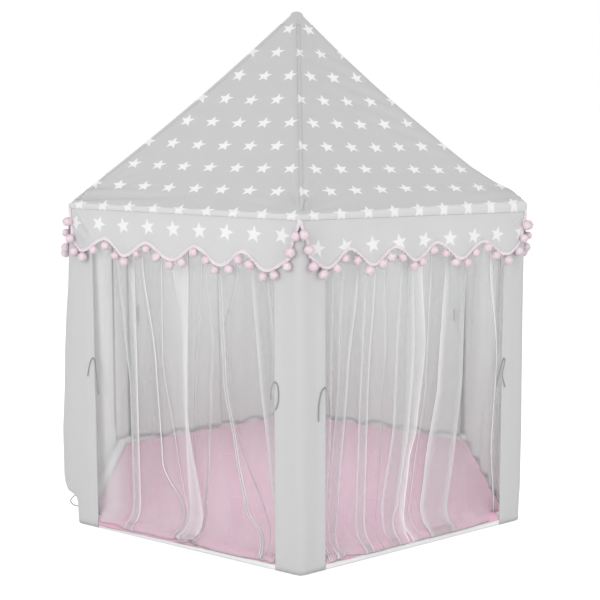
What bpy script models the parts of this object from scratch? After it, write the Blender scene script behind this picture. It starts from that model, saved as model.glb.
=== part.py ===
"""Hexagonal children's play tent: a frame of push-fit tubes under a sewn cloth cover with curtains.

Lengths are in metres. The origin is on the floor below the tip, +Z is up and the front corner is at -Y.
Corners and faces are counted from the front corner, turning left as seen from above, and face k runs
from corner k to corner k + 1.
"""
import math

import bmesh
import bpy
from mathutils import Matrix, Vector

# Driving dimensions of the frame
SIDES = 6
OVERALL_HEIGHT = 1.38
RING_RADIUS = 0.666
EAVE_HEIGHT = 0.856
TUBE_DIAMETER = 0.019
TUBE_WALL = 0.0012
SOCKET_WALL = 0.0027
SOCKET_DEPTH = 0.035
HUB_WEB = 0.001
HUB_BALL_SHARE = 0.96
ROOF_BEND = math.radians(4.2)
ROOF_BEND_STEP_COUNT = 4
FOOT_LIFT = 0.001
ROUND_SIDES = 8

# Driving dimensions of the cover
CLOTH = 0.0012
STRIP_WIDTH = 0.070
EAVE_ROUNDING = 0.008
BAND_DROP = 0.013
ROOF_SAG = 0.005
VALANCE_DROP = 0.115
VALANCE_FLARE = 0.005
LOBES = 5
SCALLOP_DEPTH = 0.043
SLIT_HALF_WIDTH = 0.016

# Clearances
FIT = 0.0003
OVERRUN = 0.002
MERGE = 0.00001

UP = Vector((0, 0, 1))
FRONT_RIGHT, RIGHT_SIDE, BACK_RIGHT, BACK_LEFT, LEFT_SIDE, FRONT_LEFT = range(SIDES)

# Sizes that follow from the driving ones
HALF_SECTOR = math.pi / SIDES
APOTHEM = RING_RADIUS * math.cos(HALF_SECTOR)
SIDE = 2 * RING_RADIUS * math.sin(HALF_SECTOR)
TUBE_RADIUS = TUBE_DIAMETER / 2
SOCKET_RADIUS = TUBE_RADIUS + FIT + SOCKET_WALL
BORE_RADIUS = (TUBE_RADIUS + FIT) / math.cos(math.pi / ROUND_SIDES)
BASE_HEIGHT = SOCKET_RADIUS + FOOT_LIFT
COVER_GAP = SOCKET_RADIUS + FIT
APEX_HEIGHT = OVERALL_HEIGHT - CLOTH - COVER_GAP
RIDGE_PITCH = math.atan2(APEX_HEIGHT - EAVE_HEIGHT, RING_RADIUS)

# Offsets of the cover's layers from the plane of a face's tubes, outwards positive
TUNNEL_IN = COVER_GAP
STRIP_IN = TUNNEL_IN + CLOTH + FIT
STRIP_OUT = STRIP_IN + CLOTH
VALANCE_IN = STRIP_OUT + FIT
VALANCE_OUT = VALANCE_IN + CLOTH

# Heights of the cover's edges
TUNNEL_TOP = BASE_HEIGHT + COVER_GAP
BAND_LOW = EAVE_HEIGHT - BAND_DROP
LOBE_LOW = BAND_LOW - VALANCE_DROP
CURTAIN_TOP = EAVE_HEIGHT - COVER_GAP


def start_scene():
    """Clears the scene and makes the part's collection and one for cutters and guides."""
    for obj in list(bpy.data.objects):
        bpy.data.objects.remove(obj, do_unlink=True)
    folders = []
    for name in ("kids_play_tent", "cutters"):
        folder = bpy.data.collections.new(name)
        bpy.context.scene.collection.children.link(folder)
        folders.append(folder)
    return folders


PARTS, CUTTERS = start_scene()


def finish(name, colour, roughness, alpha=1.0):
    """A plain material with one colour."""
    material = bpy.data.materials.new(name)
    material.use_nodes = True
    shader = material.node_tree.nodes["Principled BSDF"]
    shader.inputs["Base Color"].default_value = (*colour, 1)
    shader.inputs["Roughness"].default_value = roughness
    shader.inputs["Alpha"].default_value = alpha
    return material


TUBE_FINISH = finish("tube plastic", (0.86, 0.86, 0.85), 0.45)
CONNECTOR_FINISH = finish("connector plastic", (0.60, 0.61, 0.62), 0.40)
ROOF_FINISH = finish("roof cloth", (0.58, 0.59, 0.60), 0.85)
WALL_FINISH = finish("wall cloth", (0.70, 0.71, 0.72), 0.88)
TULLE_FINISH = finish("tulle", (0.93, 0.93, 0.94), 0.70, 0.4)
TRIM_FINISH = finish("pompom trim", (0.86, 0.56, 0.69), 0.95)
MAT_FINISH = finish("mat cloth", (0.80, 0.50, 0.62), 0.90)
RIBBON_FINISH = finish("grey ribbon", (0.34, 0.35, 0.36), 0.60)


def add_object(name, mesh, material, folder=PARTS):
    """Puts a mesh into the scene as one named object."""
    obj = bpy.data.objects.new(name, mesh)
    if material:
        mesh.materials.clear()
        mesh.materials.append(material)
    folder.objects.link(obj)
    if folder == CUTTERS:
        obj.hide_render = True
        obj.display_type = "WIRE"
    return obj


def mesh_from(bm, name):
    """Merges the meeting points of a bmesh and writes it as a mesh."""
    bmesh.ops.remove_doubles(bm, verts=bm.verts, dist=MERGE)
    mesh = bpy.data.meshes.new(name)
    bm.to_mesh(mesh)
    bm.free()
    return mesh


def baked(obj, name):
    """The mesh that an object's modifiers give, as a mesh of its own."""
    bpy.context.view_layer.update()
    graph = bpy.context.evaluated_depsgraph_get()
    mesh = bpy.data.meshes.new_from_object(obj.evaluated_get(graph))
    mesh.name = name
    return mesh


def corner_angle(index):
    """The direction of a corner, with the first at the front."""
    return 2 * math.pi * index / SIDES - math.pi / 2


def corner(index, height, out=0.0):
    """A corner of the hexagon whose sides lie out from the plane of the tubes."""
    angle = corner_angle(index)
    radius = (APOTHEM + out) / math.cos(HALF_SECTOR)
    return Vector((radius * math.cos(angle), radius * math.sin(angle), height))


def on_face(face, across, out, height):
    """A point of a face, across from the corner's axis at its start and out from its tubes."""
    start = corner(face, 0)
    along = (corner(face + 1, 0) - start).normalized()
    return start + along * across + along.cross(UP) * out + UP * height


def blend(start, end, share):
    """The value a share of the way from start to end."""
    return start + (end - start) * share


def mitre(out):
    """How far a layer's corner lies past the corner's axis, along the face."""
    return out * math.tan(HALF_SECTOR)


def across_ring(share, out):
    """The place across a face of a share of the ring's side at this offset."""
    return SIDE / 2 + (2 * share - 1) * mitre(APOTHEM + out)


def gore_tilt(ridge_tilt):
    """The slope of a gore's middle where its ridges slope by ridge_tilt."""
    return math.atan(math.tan(ridge_tilt) / math.cos(HALF_SECTOR))


# Frame: tubes pushed into moulded connectors at the feet, the eaves and the tip
def rod(name, start, end, radius, spin=0.0):
    """A round bar from one point to another, with its faces turned about its axis by spin."""
    bm = bmesh.new()
    axis = end - start
    place = Matrix.Translation((start + end) / 2) @ axis.to_track_quat("Z", "Y").to_matrix().to_4x4()
    place = place @ Matrix.Rotation(spin, 4, "Z")
    bmesh.ops.create_cone(bm, cap_ends=True, segments=ROUND_SIDES, radius1=radius, radius2=radius,
                          depth=axis.length, matrix=place)
    return mesh_from(bm, name)


def shade_round(mesh):
    """Smooth shading with the flat ends kept sharp."""
    mesh.shade_smooth()
    mesh.set_sharp_from_angle(angle=math.radians(50))


def hub_length(least_angle):
    """How far from a connector's middle its bores start, so that neighbours don't meet."""
    return BORE_RADIUS / math.tan(least_angle / 2) + HUB_WEB


EAVE_PITCH, TIP_PITCH = RIDGE_PITCH - ROOF_BEND, RIDGE_PITCH + ROOF_BEND
EAVE_ARM_ANGLE = math.acos(math.cos(EAVE_PITCH) * math.sin(HALF_SECTOR))
APEX_ARM_ANGLE = math.acos(math.cos(TIP_PITCH) ** 2 * math.cos(2 * HALF_SECTOR) + math.sin(TIP_PITCH) ** 2)
FOOT_HUB = hub_length(math.pi / 2)
EAVE_HUB = hub_length(EAVE_ARM_ANGLE)
APEX_HUB = hub_length(APEX_ARM_ANGLE)


def ridge_path():
    """Radius, height and slope along a roof tube's axis, straight in its sockets and bent between them."""
    length = math.hypot(RING_RADIUS, APEX_HEIGHT - EAVE_HEIGHT)
    low, high = EAVE_HUB + SOCKET_DEPTH, APEX_HUB + SOCKET_DEPTH
    half = (length - (low + high) * math.cos(ROOF_BEND)) / 2
    radius = half / math.sin(ROOF_BEND)
    path = []
    for step in range(ROOF_BEND_STEP_COUNT + 1):
        turn = ROOF_BEND * (2 * step / ROOF_BEND_STEP_COUNT - 1)
        along = low * math.cos(ROOF_BEND) + half + radius * math.sin(turn)
        share = step / ROOF_BEND_STEP_COUNT
        dip = blend(low, high, share) * math.sin(ROOF_BEND) + radius * (math.cos(turn) - math.cos(ROOF_BEND))
        path.append((RING_RADIUS - along * math.cos(RIDGE_PITCH) - dip * math.sin(RIDGE_PITCH),
                     EAVE_HEIGHT + along * math.sin(RIDGE_PITCH) - dip * math.cos(RIDGE_PITCH),
                     RIDGE_PITCH + turn))
    return path


def tube(name, points):
    """A hollow tube along a path, with its origin at the middle of the path's ends."""
    middle = (points[0] + points[-1]) / 2
    path = bpy.data.curves.new(name, "CURVE")
    path.dimensions = "3D"
    path.bevel_depth = TUBE_RADIUS
    path.bevel_resolution = ROUND_SIDES // 4
    spline = path.splines.new("POLY")
    spline.points.add(len(points) - 1)
    for point, place in zip(spline.points, points):
        point.co = (*(place - middle), 1)
    guide = bpy.data.objects.new(name, path)
    CUTTERS.objects.link(guide)
    wall = bmesh.new()
    wall.from_mesh(baked(guide, name))
    bpy.data.objects.remove(guide, do_unlink=True)
    mesh = mesh_from(wall, name)
    shade_round(mesh)
    obj = add_object(name, mesh, TUBE_FINISH)
    obj.location = middle
    shell = obj.modifiers.new("Wall", "SOLIDIFY")
    shell.thickness = TUBE_WALL
    shell.offset = -1
    shell.use_even_offset = True


def straight_tube(name, start, end, start_hub, end_hub):
    """A tube between two connectors, with its ends just short of the hubs."""
    along = (end - start).normalized()
    tube(name, [start + along * (start_hub + FIT), end - along * (end_hub + FIT)])


def roof_tube(name, index):
    """A roof tube over a corner, from its eave connector to the apex connector."""
    low = Vector((-math.cos(EAVE_PITCH), 0, math.sin(EAVE_PITCH))) * (EAVE_HUB + FIT)
    high = Vector((math.cos(TIP_PITCH), 0, -math.sin(TIP_PITCH))) * (APEX_HUB + FIT)
    points = [Vector((RING_RADIUS, 0, EAVE_HEIGHT)) + low]
    points += [Vector((radius, 0, height)) for radius, height, _ in ridge_path()]
    points.append(Vector((0, 0, APEX_HEIGHT)) + high)
    turn = Matrix.Rotation(corner_angle(index), 4, "Z")
    tube(name, [turn @ point for point in points])


def connector_mesh(name, arms, hub, foot=0.0, spin=0.0):
    """Sockets around a ball or, with a foot, around an upright socket that reaches down to the floor."""
    reach = hub + SOCKET_DEPTH
    if foot:
        core = rod("core", -UP * foot, UP * reach, SOCKET_RADIUS)
    else:
        ball = bmesh.new()
        bmesh.ops.create_uvsphere(ball, u_segments=ROUND_SIDES, v_segments=ROUND_SIDES // 2,
                                  radius=SOCKET_RADIUS * HUB_BALL_SHARE)
        core = mesh_from(ball, "core")
    body = add_object(name, core, CONNECTOR_FINISH, CUTTERS)
    helpers = [body]
    tools = [("UNION", rod("arm", Vector(), arm * reach, SOCKET_RADIUS, spin)) for arm in arms if arm != UP]
    tools += [("DIFFERENCE", rod("bore", arm * hub, arm * (reach + OVERRUN), BORE_RADIUS, spin)) for arm in arms]
    for operation, shape in tools:
        helpers.append(add_object(shape.name, shape, None, CUTTERS))
        step = body.modifiers.new(shape.name, "BOOLEAN")
        step.operation = operation
        step.object = helpers[-1]
    joined = bmesh.new()
    joined.from_mesh(baked(body, name))
    bmesh.ops.dissolve_degenerate(joined, edges=joined.edges, dist=MERGE)
    for helper in helpers:
        bpy.data.objects.remove(helper, do_unlink=True)
    mesh = mesh_from(joined, name)
    shade_round(mesh)
    return mesh


def side_arms():
    """The two level directions from a corner to its neighbours, with the corner pointing along +X."""
    turn = math.pi / 2 + HALF_SECTOR
    return [Vector((math.cos(turn), side * math.sin(turn), 0)) for side in (-1, 1)]


def frame():
    """All tubes and connectors."""
    to_apex = Vector((-math.cos(EAVE_PITCH), 0, math.sin(EAVE_PITCH)))
    foot = connector_mesh("foot connector", [*side_arms(), UP], FOOT_HUB, foot=BASE_HEIGHT)
    eave = connector_mesh("eave connector", [*side_arms(), -UP, to_apex], EAVE_HUB)
    to_ridge = Vector((math.cos(TIP_PITCH), 0, -math.sin(TIP_PITCH)))
    apex_arms = [Matrix.Rotation(corner_angle(k), 3, "Z") @ to_ridge for k in range(SIDES)]
    apex = connector_mesh("apex connector", apex_arms, APEX_HUB, spin=math.pi / (2 * ROUND_SIDES))
    add_object("apex_connector", apex, CONNECTOR_FINISH).location.z = APEX_HEIGHT
    for k in range(SIDES):
        number = k + 1
        base_here, base_next = corner(k, BASE_HEIGHT), corner(k + 1, BASE_HEIGHT)
        eave_here, eave_next = corner(k, EAVE_HEIGHT), corner(k + 1, EAVE_HEIGHT)
        for kind, mesh, place in (("foot", foot, base_here), ("eave", eave, eave_here)):
            obj = add_object(f"{kind}_connector_{number}", mesh, CONNECTOR_FINISH)
            obj.location = place
            obj.rotation_euler.z = corner_angle(k)
        straight_tube(f"base_tube_{number}", base_here, base_next, FOOT_HUB, FOOT_HUB)
        straight_tube(f"eave_tube_{number}", eave_here, eave_next, EAVE_HUB, EAVE_HUB)
        straight_tube(f"corner_post_{number}", base_here, eave_here, FOOT_HUB, EAVE_HUB)
        roof_tube(f"roof_tube_{number}", k)


# Cloth sheets: a flat grid moved into place, then given its thickness outwards
def add_grid(bm, columns, rows, place, foot_cuts=0):
    """Adds a grid moved to place(u, v), with u to the right and v up as seen from outside."""
    patch = bmesh.new()
    bmesh.ops.create_grid(patch, x_segments=columns, y_segments=rows, size=0.5)
    if foot_cuts:
        lowest = {vert for vert in patch.verts if vert.co.y < -0.5 + 0.5 / rows}
        foot = [edge for edge in patch.edges if lowest.issuperset(edge.verts)]
        bmesh.ops.subdivide_edges(patch, edges=foot, cuts=foot_cuts)
    for vert in patch.verts:
        vert.co = place(vert.co.x + 0.5, vert.co.y + 0.5)
    bm.from_mesh(mesh_from(patch, "patch"))


def cloth(name, bm, material):
    """Makes a sheet of cloth from its inner surface."""
    obj = add_object(name, mesh_from(bm, name), material)
    shell = obj.modifiers.new("Cloth", "SOLIDIFY")
    shell.thickness = CLOTH
    shell.offset = 1
    shell.use_even_offset = True
    return obj


def ease(share):
    """Runs smoothly from 0 to 1."""
    share = min(max(share, 0.0), 1.0)
    return (1 - math.cos(math.pi * share)) / 2


# Roof canopy: six gores with rounded eaves and tip, and a scalloped valance below each
GORE_COLUMN_COUNT = 4
LOBE_COLUMN_COUNT = 4
VALANCE_ROW_COUNT = 2
ROUNDING_SHARES = (0.0, 0.5, 1.0)
def gore_profile():
    """Rows from the band's lower edge to the tip, as offset from the tubes' plane, height and sag."""
    slope = gore_tilt(EAVE_PITCH)
    middle_out = VALANCE_IN - EAVE_ROUNDING
    middle_up = EAVE_HEIGHT + (COVER_GAP - EAVE_ROUNDING - middle_out * math.sin(slope)) / math.cos(slope)
    rows = [(VALANCE_IN, BAND_LOW, 0.0)]
    for share in ROUNDING_SHARES:
        tilt = blend(math.pi / 2, slope, share)
        rows.append((middle_out + EAVE_ROUNDING * math.sin(tilt), middle_up + EAVE_ROUNDING * math.cos(tilt), 0.0))
    ridge = ridge_path()
    for index, (radius, height, ridge_tilt) in enumerate(ridge):
        tilt = gore_tilt(ridge_tilt)
        out = radius * math.cos(HALF_SECTOR) - APOTHEM + COVER_GAP * math.sin(tilt)
        sag = ROOF_SAG * math.sin(math.pi * index / (len(ridge) - 1))
        rows.append((out, height + COVER_GAP * math.cos(tilt), sag))
    for share in ROUNDING_SHARES:
        tilt = blend(gore_tilt(TIP_PITCH), 0.0, share)
        rows.append((COVER_GAP * math.sin(tilt) - APOTHEM, APEX_HEIGHT + COVER_GAP * math.cos(tilt), 0.0))
    return rows


def valance_place(face, share, fall, proud=0.0):
    """A point of a valance's inner surface; fall is 0 at the band and 1 at the scalloped hem."""
    top = across_ring(share, VALANCE_IN)
    slit = SLIT_HALF_WIDTH - mitre(VALANCE_IN)
    hem = blend(slit, SIDE - slit, share)
    lobe = abs(math.cos(math.pi * (LOBES * share - 0.5)))
    hem_height = LOBE_LOW + SCALLOP_DEPTH * (1 - lobe)
    bow = VALANCE_FLARE * lobe ** 2 * fall
    return on_face(face, blend(top, hem, ease(fall)), VALANCE_IN + bow + proud, blend(BAND_LOW, hem_height, fall))


def roof_canopy():
    bm = bmesh.new()
    rows = gore_profile()
    sag_out, sag_up = math.sin(RIDGE_PITCH), math.cos(RIDGE_PITCH)
    for face in range(SIDES):
        def gore(u, v):
            out, height, sag = rows[round(v * (len(rows) - 1))]
            depth = sag * 4 * u * (1 - u)
            return on_face(face, across_ring(u, out), out - depth * sag_out, height - depth * sag_up)
        columns = LOBES * LOBE_COLUMN_COUNT
        add_grid(bm, GORE_COLUMN_COUNT, len(rows) - 1, gore, foot_cuts=columns // GORE_COLUMN_COUNT - 1)
        add_grid(bm, columns, VALANCE_ROW_COUNT, lambda u, v: valance_place(face, u, 1 - v))
    bmesh.ops.remove_doubles(bm, verts=bm.verts, dist=MERGE)
    bmesh.ops.dissolve_degenerate(bm, edges=bm.edges, dist=MERGE)
    cloth("roof_canopy", bm, ROOF_FINISH)


# Pompom trim: a braid along the scallops and up the corner slits, with a ball on each short thread
BRAID_RADIUS = 0.0024
BALL_RADIUS = 0.010
THREAD_RADIUS = 0.0011
THREAD_LENGTH = 0.008
BRAID_TURN = 0.0045
POMPOM_COUNT = 23
SLIT_ROW_COUNT = 2


def braid_route(face):
    """The braid's points on one face, from slit to slit."""
    proud = CLOTH + FIT + BRAID_RADIUS
    out = VALANCE_IN + proud
    turn = BRAID_TURN - mitre(out)
    columns = LOBES * LOBE_COLUMN_COUNT
    route = [corner(face, BAND_LOW, out), on_face(face, turn, out, BAND_LOW)]
    route += [valance_place(face, 0.0, row / SLIT_ROW_COUNT, proud) for row in range(1, SLIT_ROW_COUNT)]
    route += [valance_place(face, column / columns, 1.0, proud) for column in range(columns + 1)]
    route += [valance_place(face, 1.0, row / SLIT_ROW_COUNT, proud) for row in range(SLIT_ROW_COUNT - 1, 0, -1)]
    route.append(on_face(face, SIDE - turn, out, BAND_LOW))
    return route


def along_route(route, distance):
    """The point at a distance along a list of points."""
    for start, end in zip(route, route[1:]):
        step = (end - start).length
        if distance <= step:
            return start.lerp(end, distance / step)
        distance -= step
    return route[-1]


def ball_rest(face, hang):
    """Where a ball's middle hangs: straight below its thread, or proud of cloth that lies behind it."""
    start = corner(face, 0)
    along = (corner(face + 1, 0) - start).normalized()
    across = (hang - start).dot(along)
    lean = VALANCE_OUT + FIT + BALL_RADIUS - (hang - start).dot(along.cross(UP))
    edge = min(across, SIDE - across)
    backed = 1.0 if face == LEFT_SIDE else 1 - ease((edge - STRIP_WIDTH) / (2 * BALL_RADIUS))
    return hang + along.cross(UP) * max(lean, 0) * backed - UP * (THREAD_LENGTH + BALL_RADIUS + BRAID_RADIUS)


def pompom(bm, hang, middle):
    """A ball whose topmost face is drawn out and up to the braid as its thread."""
    before = set(bm.faces)
    bmesh.ops.create_icosphere(bm, subdivisions=1, radius=BALL_RADIUS)
    fresh = [face for face in bm.faces if face not in before]
    top = max(fresh, key=lambda face: face.calc_center_median().z)
    turn = top.calc_center_median().rotation_difference(UP).to_matrix().to_4x4()
    verts = {vert for face in fresh for vert in face.verts}
    bmesh.ops.transform(bm, matrix=Matrix.Translation(middle) @ turn, verts=list(verts))
    top = bmesh.ops.extrude_discrete_faces(bm, faces=[top])["faces"][0]
    centre = top.calc_center_median()
    for vert in top.verts:
        vert.co = hang + (vert.co - centre).normalized() * THREAD_RADIUS


def pompom_trim():
    route = [point for face in range(SIDES) for point in braid_route(face)]
    path = bpy.data.curves.new("braid", "CURVE")
    path.dimensions = "3D"
    path.bevel_depth = BRAID_RADIUS
    path.bevel_resolution = 0
    path.twist_mode = "Z_UP"
    spline = path.splines.new("POLY")
    spline.points.add(len(route) - 1)
    spline.use_cyclic_u = True
    for point, place in zip(spline.points, route):
        point.co = (*place, 1)
        point.tilt = math.pi / 4
    guide = bpy.data.objects.new("braid", path)
    CUTTERS.objects.link(guide)
    braid = baked(guide, "pompom_trim")
    bpy.data.objects.remove(guide, do_unlink=True)
    balls = bmesh.new()
    for face in range(SIDES):
        stretch = braid_route(face)
        length = sum((end - start).length for start, end in zip(stretch, stretch[1:]))
        for index in range(POMPOM_COUNT):
            hang = along_route(stretch, length * (index + 0.5) / POMPOM_COUNT)
            pompom(balls, hang, ball_rest(face, hang))
    trim = add_object("pompom_trim", braid, TRIM_FINISH)
    joint = trim.modifiers.new("Pompoms", "BOOLEAN")
    joint.operation = "UNION"
    joint.object = add_object("pompoms", mesh_from(balls, "pompoms"), None, CUTTERS)


# Corner strips: upright bands of wall cloth that wrap each post and its connectors
STRIP_LIFT = 0.0015
STRIP_TOP_DROP = 0.004


def corner_strip(index):
    wing = STRIP_WIDTH - mitre(STRIP_OUT)

    def strip(u, v):
        height = blend(STRIP_LIFT, EAVE_HEIGHT - STRIP_TOP_DROP, v)
        column = round(2 * u)
        if column == 0:
            return on_face(index - 1, SIDE - wing, STRIP_IN, height)
        if column == 1:
            return corner(index, height, STRIP_IN)
        return on_face(index, wing, STRIP_IN, height)

    bm = bmesh.new()
    add_grid(bm, 2, 1, strip)
    cloth(f"corner_strip_{index + 1}", bm, WALL_FINISH)


# Base tunnel: the cover's lower edge, folded over the base tubes and open underneath
TUNNEL_LIFT = 0.0015


def base_tunnel():
    rows = [(-TUNNEL_IN, TUNNEL_LIFT), (-TUNNEL_IN, TUNNEL_TOP), (TUNNEL_IN, TUNNEL_TOP), (TUNNEL_IN, TUNNEL_LIFT)]

    def fold(u, v):
        out, height = rows[round((1 - v) * (len(rows) - 1))]
        return corner(round(u * SIDES), height, out)

    bm = bmesh.new()
    add_grid(bm, SIDES, len(rows) - 1, fold)
    tunnel = cloth("base_tunnel", bm, WALL_FINISH)
    posts = bmesh.new()
    for k in range(SIDES):
        low, high = corner(k, TUNNEL_TOP - FIT), corner(k, TUNNEL_TOP + CLOTH + OVERRUN)
        posts.from_mesh(rod("post hole", low, high, COVER_GAP / math.cos(math.pi / ROUND_SIDES)))
    cut = tunnel.modifiers.new("Post holes", "BOOLEAN")
    cut.operation = "DIFFERENCE"
    cut.object = add_object("post_holes", mesh_from(posts, "post holes"), None, CUTTERS)


# Hanging cloth: curtains and walls with their main folds
EDGE_INSET = 0.018
TOP_FOLD = 0.003
HANGING_ROW_COUNT = 2
CURTAIN_FOLD = 0.009
CURTAIN_LAP = 0.016
CURTAIN_LAP_DEPTH = 0.011
LAP_START_SHARE = 0.68
LAP_END_SHARE = 0.88
CURTAIN_HEM = 0.024
WALL_FOLD = 0.007
WALL_HEM_GAP = 0.006
HEM_WAVE = 0.004
RIGHT_INNER_SHARES = (0.10, 0.22, 0.36, 0.52, 0.69, 0.82)
RIGHT_OUTER_SHARES = (0.10, 0.28, 0.46, 0.62, 0.74, 0.86)
LEFT_OUTER_SHARES = (0.12, 0.36, 0.48, 0.66, 0.84)
LEFT_INNER_SHARES = (0.15, 0.30, 0.46, 0.62, 0.76, 0.88)
REAR_INNER_SHARES = (0.20, 0.48, 0.80)
REAR_OUTER_SHARES = (0.18, 0.50, 0.82)
REAR_RIGHT_SHARES = (0.12, 0.30, 0.50, 0.68, 0.88)
RIGHT_SIDE_SHARES = (0.15, 0.38, 0.62, 0.86)


def fold_stops(crest_shares):
    """Crests at the given shares of the width, hollows midway between them, and level edges."""
    stops = [(0.0, 0.0)]
    for crest, following in zip(crest_shares, crest_shares[1:]):
        stops += [(crest, 1.0), ((crest + following) / 2, -1.0)]
    return stops + [(crest_shares[-1], 1.0), (1.0, 0.0)]


def hanging(name, face, start, end, crest_shares, fold, hem, hem_out, material, lap=0.0):
    """A pleated sheet below the eave; start and end are places across the face, end the free or far edge."""
    stops = fold_stops(crest_shares)
    marks = [(0.0, 0.0)]
    for (first, rise), (second, next_rise) in zip(stops, stops[1:]):
        marks += [((first + second) / 2, (rise + next_rise) / 2), (second, next_rise)]
    columns = len(marks) - 1
    if start > end:
        marks.reverse()

    def pleat(u, v):
        share, crest = marks[round(u * columns)]
        lean = lap * ease((share - LAP_START_SHARE) / (LAP_END_SHARE - LAP_START_SHARE))
        out = hem_out * (1 - v) - lean + crest * blend(fold, TOP_FOLD, v)
        height = blend(hem + HEM_WAVE * (1 + crest) / 2, CURTAIN_TOP, v)
        return on_face(face, blend(start, end, share), out, height)

    bm = bmesh.new()
    add_grid(bm, columns, HANGING_ROW_COUNT, pleat)
    cloth(name, bm, material)


def curtain_pair(names, face, crests, fold, hem, hem_out, material):
    """Two panels that meet at the middle of a face, the second lapping behind the first."""
    inset = SOCKET_RADIUS + EDGE_INSET
    middle = SIDE / 2
    hanging(names[0], face, inset, middle + CURTAIN_LAP, crests[0], fold, hem, hem_out, material)
    hanging(names[1], face, SIDE - inset, middle - CURTAIN_LAP, crests[1], fold, hem, hem_out, material,
            lap=CURTAIN_LAP_DEPTH)


def curtains_and_walls():
    inside = -(TUNNEL_IN + CLOTH + FIT + CLOTH + CURTAIN_FOLD)
    curtain_pair(("right_door_curtain_inner", "right_door_curtain_outer"), FRONT_RIGHT,
                 (RIGHT_INNER_SHARES, RIGHT_OUTER_SHARES), CURTAIN_FOLD, CURTAIN_HEM, inside, TULLE_FINISH)
    curtain_pair(("left_door_curtain_outer", "left_door_curtain_inner"), FRONT_LEFT,
                 (LEFT_OUTER_SHARES, LEFT_INNER_SHARES), CURTAIN_FOLD, CURTAIN_HEM, inside, TULLE_FINISH)
    wall_hem = TUNNEL_TOP + CLOTH + WALL_HEM_GAP
    curtain_pair(("rear_left_panel_inner", "rear_left_panel_outer"), BACK_LEFT,
                 (REAR_INNER_SHARES, REAR_OUTER_SHARES), WALL_FOLD, wall_hem, 0.0, WALL_FINISH)
    inset = SOCKET_RADIUS + EDGE_INSET
    for name, face, crest_shares in (("rear_right_wall", BACK_RIGHT, REAR_RIGHT_SHARES),
                                     ("right_side_wall", RIGHT_SIDE, RIGHT_SIDE_SHARES)):
        hanging(name, face, inset, SIDE - inset, crest_shares, WALL_FOLD, wall_hem, 0.0, WALL_FINISH)


# Left side wall: sewn between two corner strips, and blown out past the base tube near the front
SIDE_BULGE = 0.046
BULGE_LEAN = 1.5
BULGE_ROUND = 0.6
SIDE_COLUMN_COUNT = 10
SIDE_ROW_COUNT = 6
BULGE_GAP = 0.004


def left_side_wall():
    wing = STRIP_WIDTH - mitre(STRIP_OUT) + CLOTH + FIT
    top = EAVE_HEIGHT - STRIP_TOP_DROP
    balls_low = LOBE_LOW - 2 * BRAID_RADIUS - THREAD_LENGTH - 2 * BALL_RADIUS - BULGE_GAP

    def billow(u, v):
        row = round(v * SIDE_ROW_COUNT)
        height = top if row == SIDE_ROW_COUNT else blend(TUNNEL_LIFT, balls_low, row / (SIDE_ROW_COUNT - 1))
        fall = max(1 - height / balls_low, 0.0)
        out = SIDE_BULGE * math.sin(math.pi * u ** BULGE_LEAN) * fall ** BULGE_ROUND
        return on_face(LEFT_SIDE, blend(wing, SIDE - wing, u), STRIP_IN + out, height)

    bm = bmesh.new()
    add_grid(bm, SIDE_COLUMN_COUNT, SIDE_ROW_COUNT, billow)
    cloth("left_side_wall", bm, WALL_FINISH)


# Floor mat: a thin padded hexagon inside the base tunnel
MAT_THICKNESS = 0.010
MAT_CORNER_ROUNDING = 0.030
MAT_EDGE_ROUNDING = 0.003
MAT_CORNER_STEP_COUNT = 4
MAT_EDGE_STEP_COUNT = 2


def floor_mat():
    bm = bmesh.new()
    radius = (APOTHEM - TUNNEL_IN - CLOTH - FIT) / math.cos(HALF_SECTOR)
    place = Matrix.Translation(UP * MAT_THICKNESS / 2)
    bmesh.ops.create_cone(bm, cap_ends=True, segments=SIDES, radius1=radius, radius2=radius,
                          depth=MAT_THICKNESS, matrix=place)
    upright = [edge for edge in bm.edges if abs((edge.verts[0].co - edge.verts[1].co).z) > MERGE]
    bmesh.ops.bevel(bm, geom=upright, offset=MAT_CORNER_ROUNDING, segments=MAT_CORNER_STEP_COUNT, profile=0.5,
                    affect="EDGES")
    rim = [edge for edge in bm.edges if min(vert.co.z for vert in edge.verts) > MAT_THICKNESS - MERGE]
    bmesh.ops.bevel(bm, geom=rim, offset=MAT_EDGE_ROUNDING, segments=MAT_EDGE_STEP_COUNT, profile=0.5, affect="EDGES")
    add_object("floor_mat", mesh_from(bm, "floor_mat"), MAT_FINISH)


# Ribbon ties: sewn at their middle to the edge of a corner strip, with both tails hanging
TIE_DIAMETER = 0.003
TIE_HEIGHT = 0.460
TIE_INSET = 0.004
TIE_SAMPLE_COUNT = 2
TIE_ROUTE = (
    (-0.0130, -0.1000), (-0.0150, -0.0720), (-0.0125, -0.0440), (-0.0080, -0.0180), (0.0000, 0.0000),
    (0.0070, -0.0160), (0.0115, -0.0420), (0.0140, -0.0700), (0.0120, -0.0960),
)


def smooth_route(points):
    """Points of a smooth curve through the given ones."""
    ends = [2 * points[0] - points[1], *points, 2 * points[-1] - points[-2]]
    route = []
    for before, start, end, after in zip(ends, ends[1:], ends[2:], ends[3:]):
        for sample in range(TIE_SAMPLE_COUNT):
            t = sample / TIE_SAMPLE_COUNT
            route.append((2 * start + (end - before) * t + (2 * before - 5 * start + 4 * end - after) * t ** 2
                          + (3 * start - before - 3 * end + after) * t ** 3) / 2)
    return route + [points[-1]]


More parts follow.
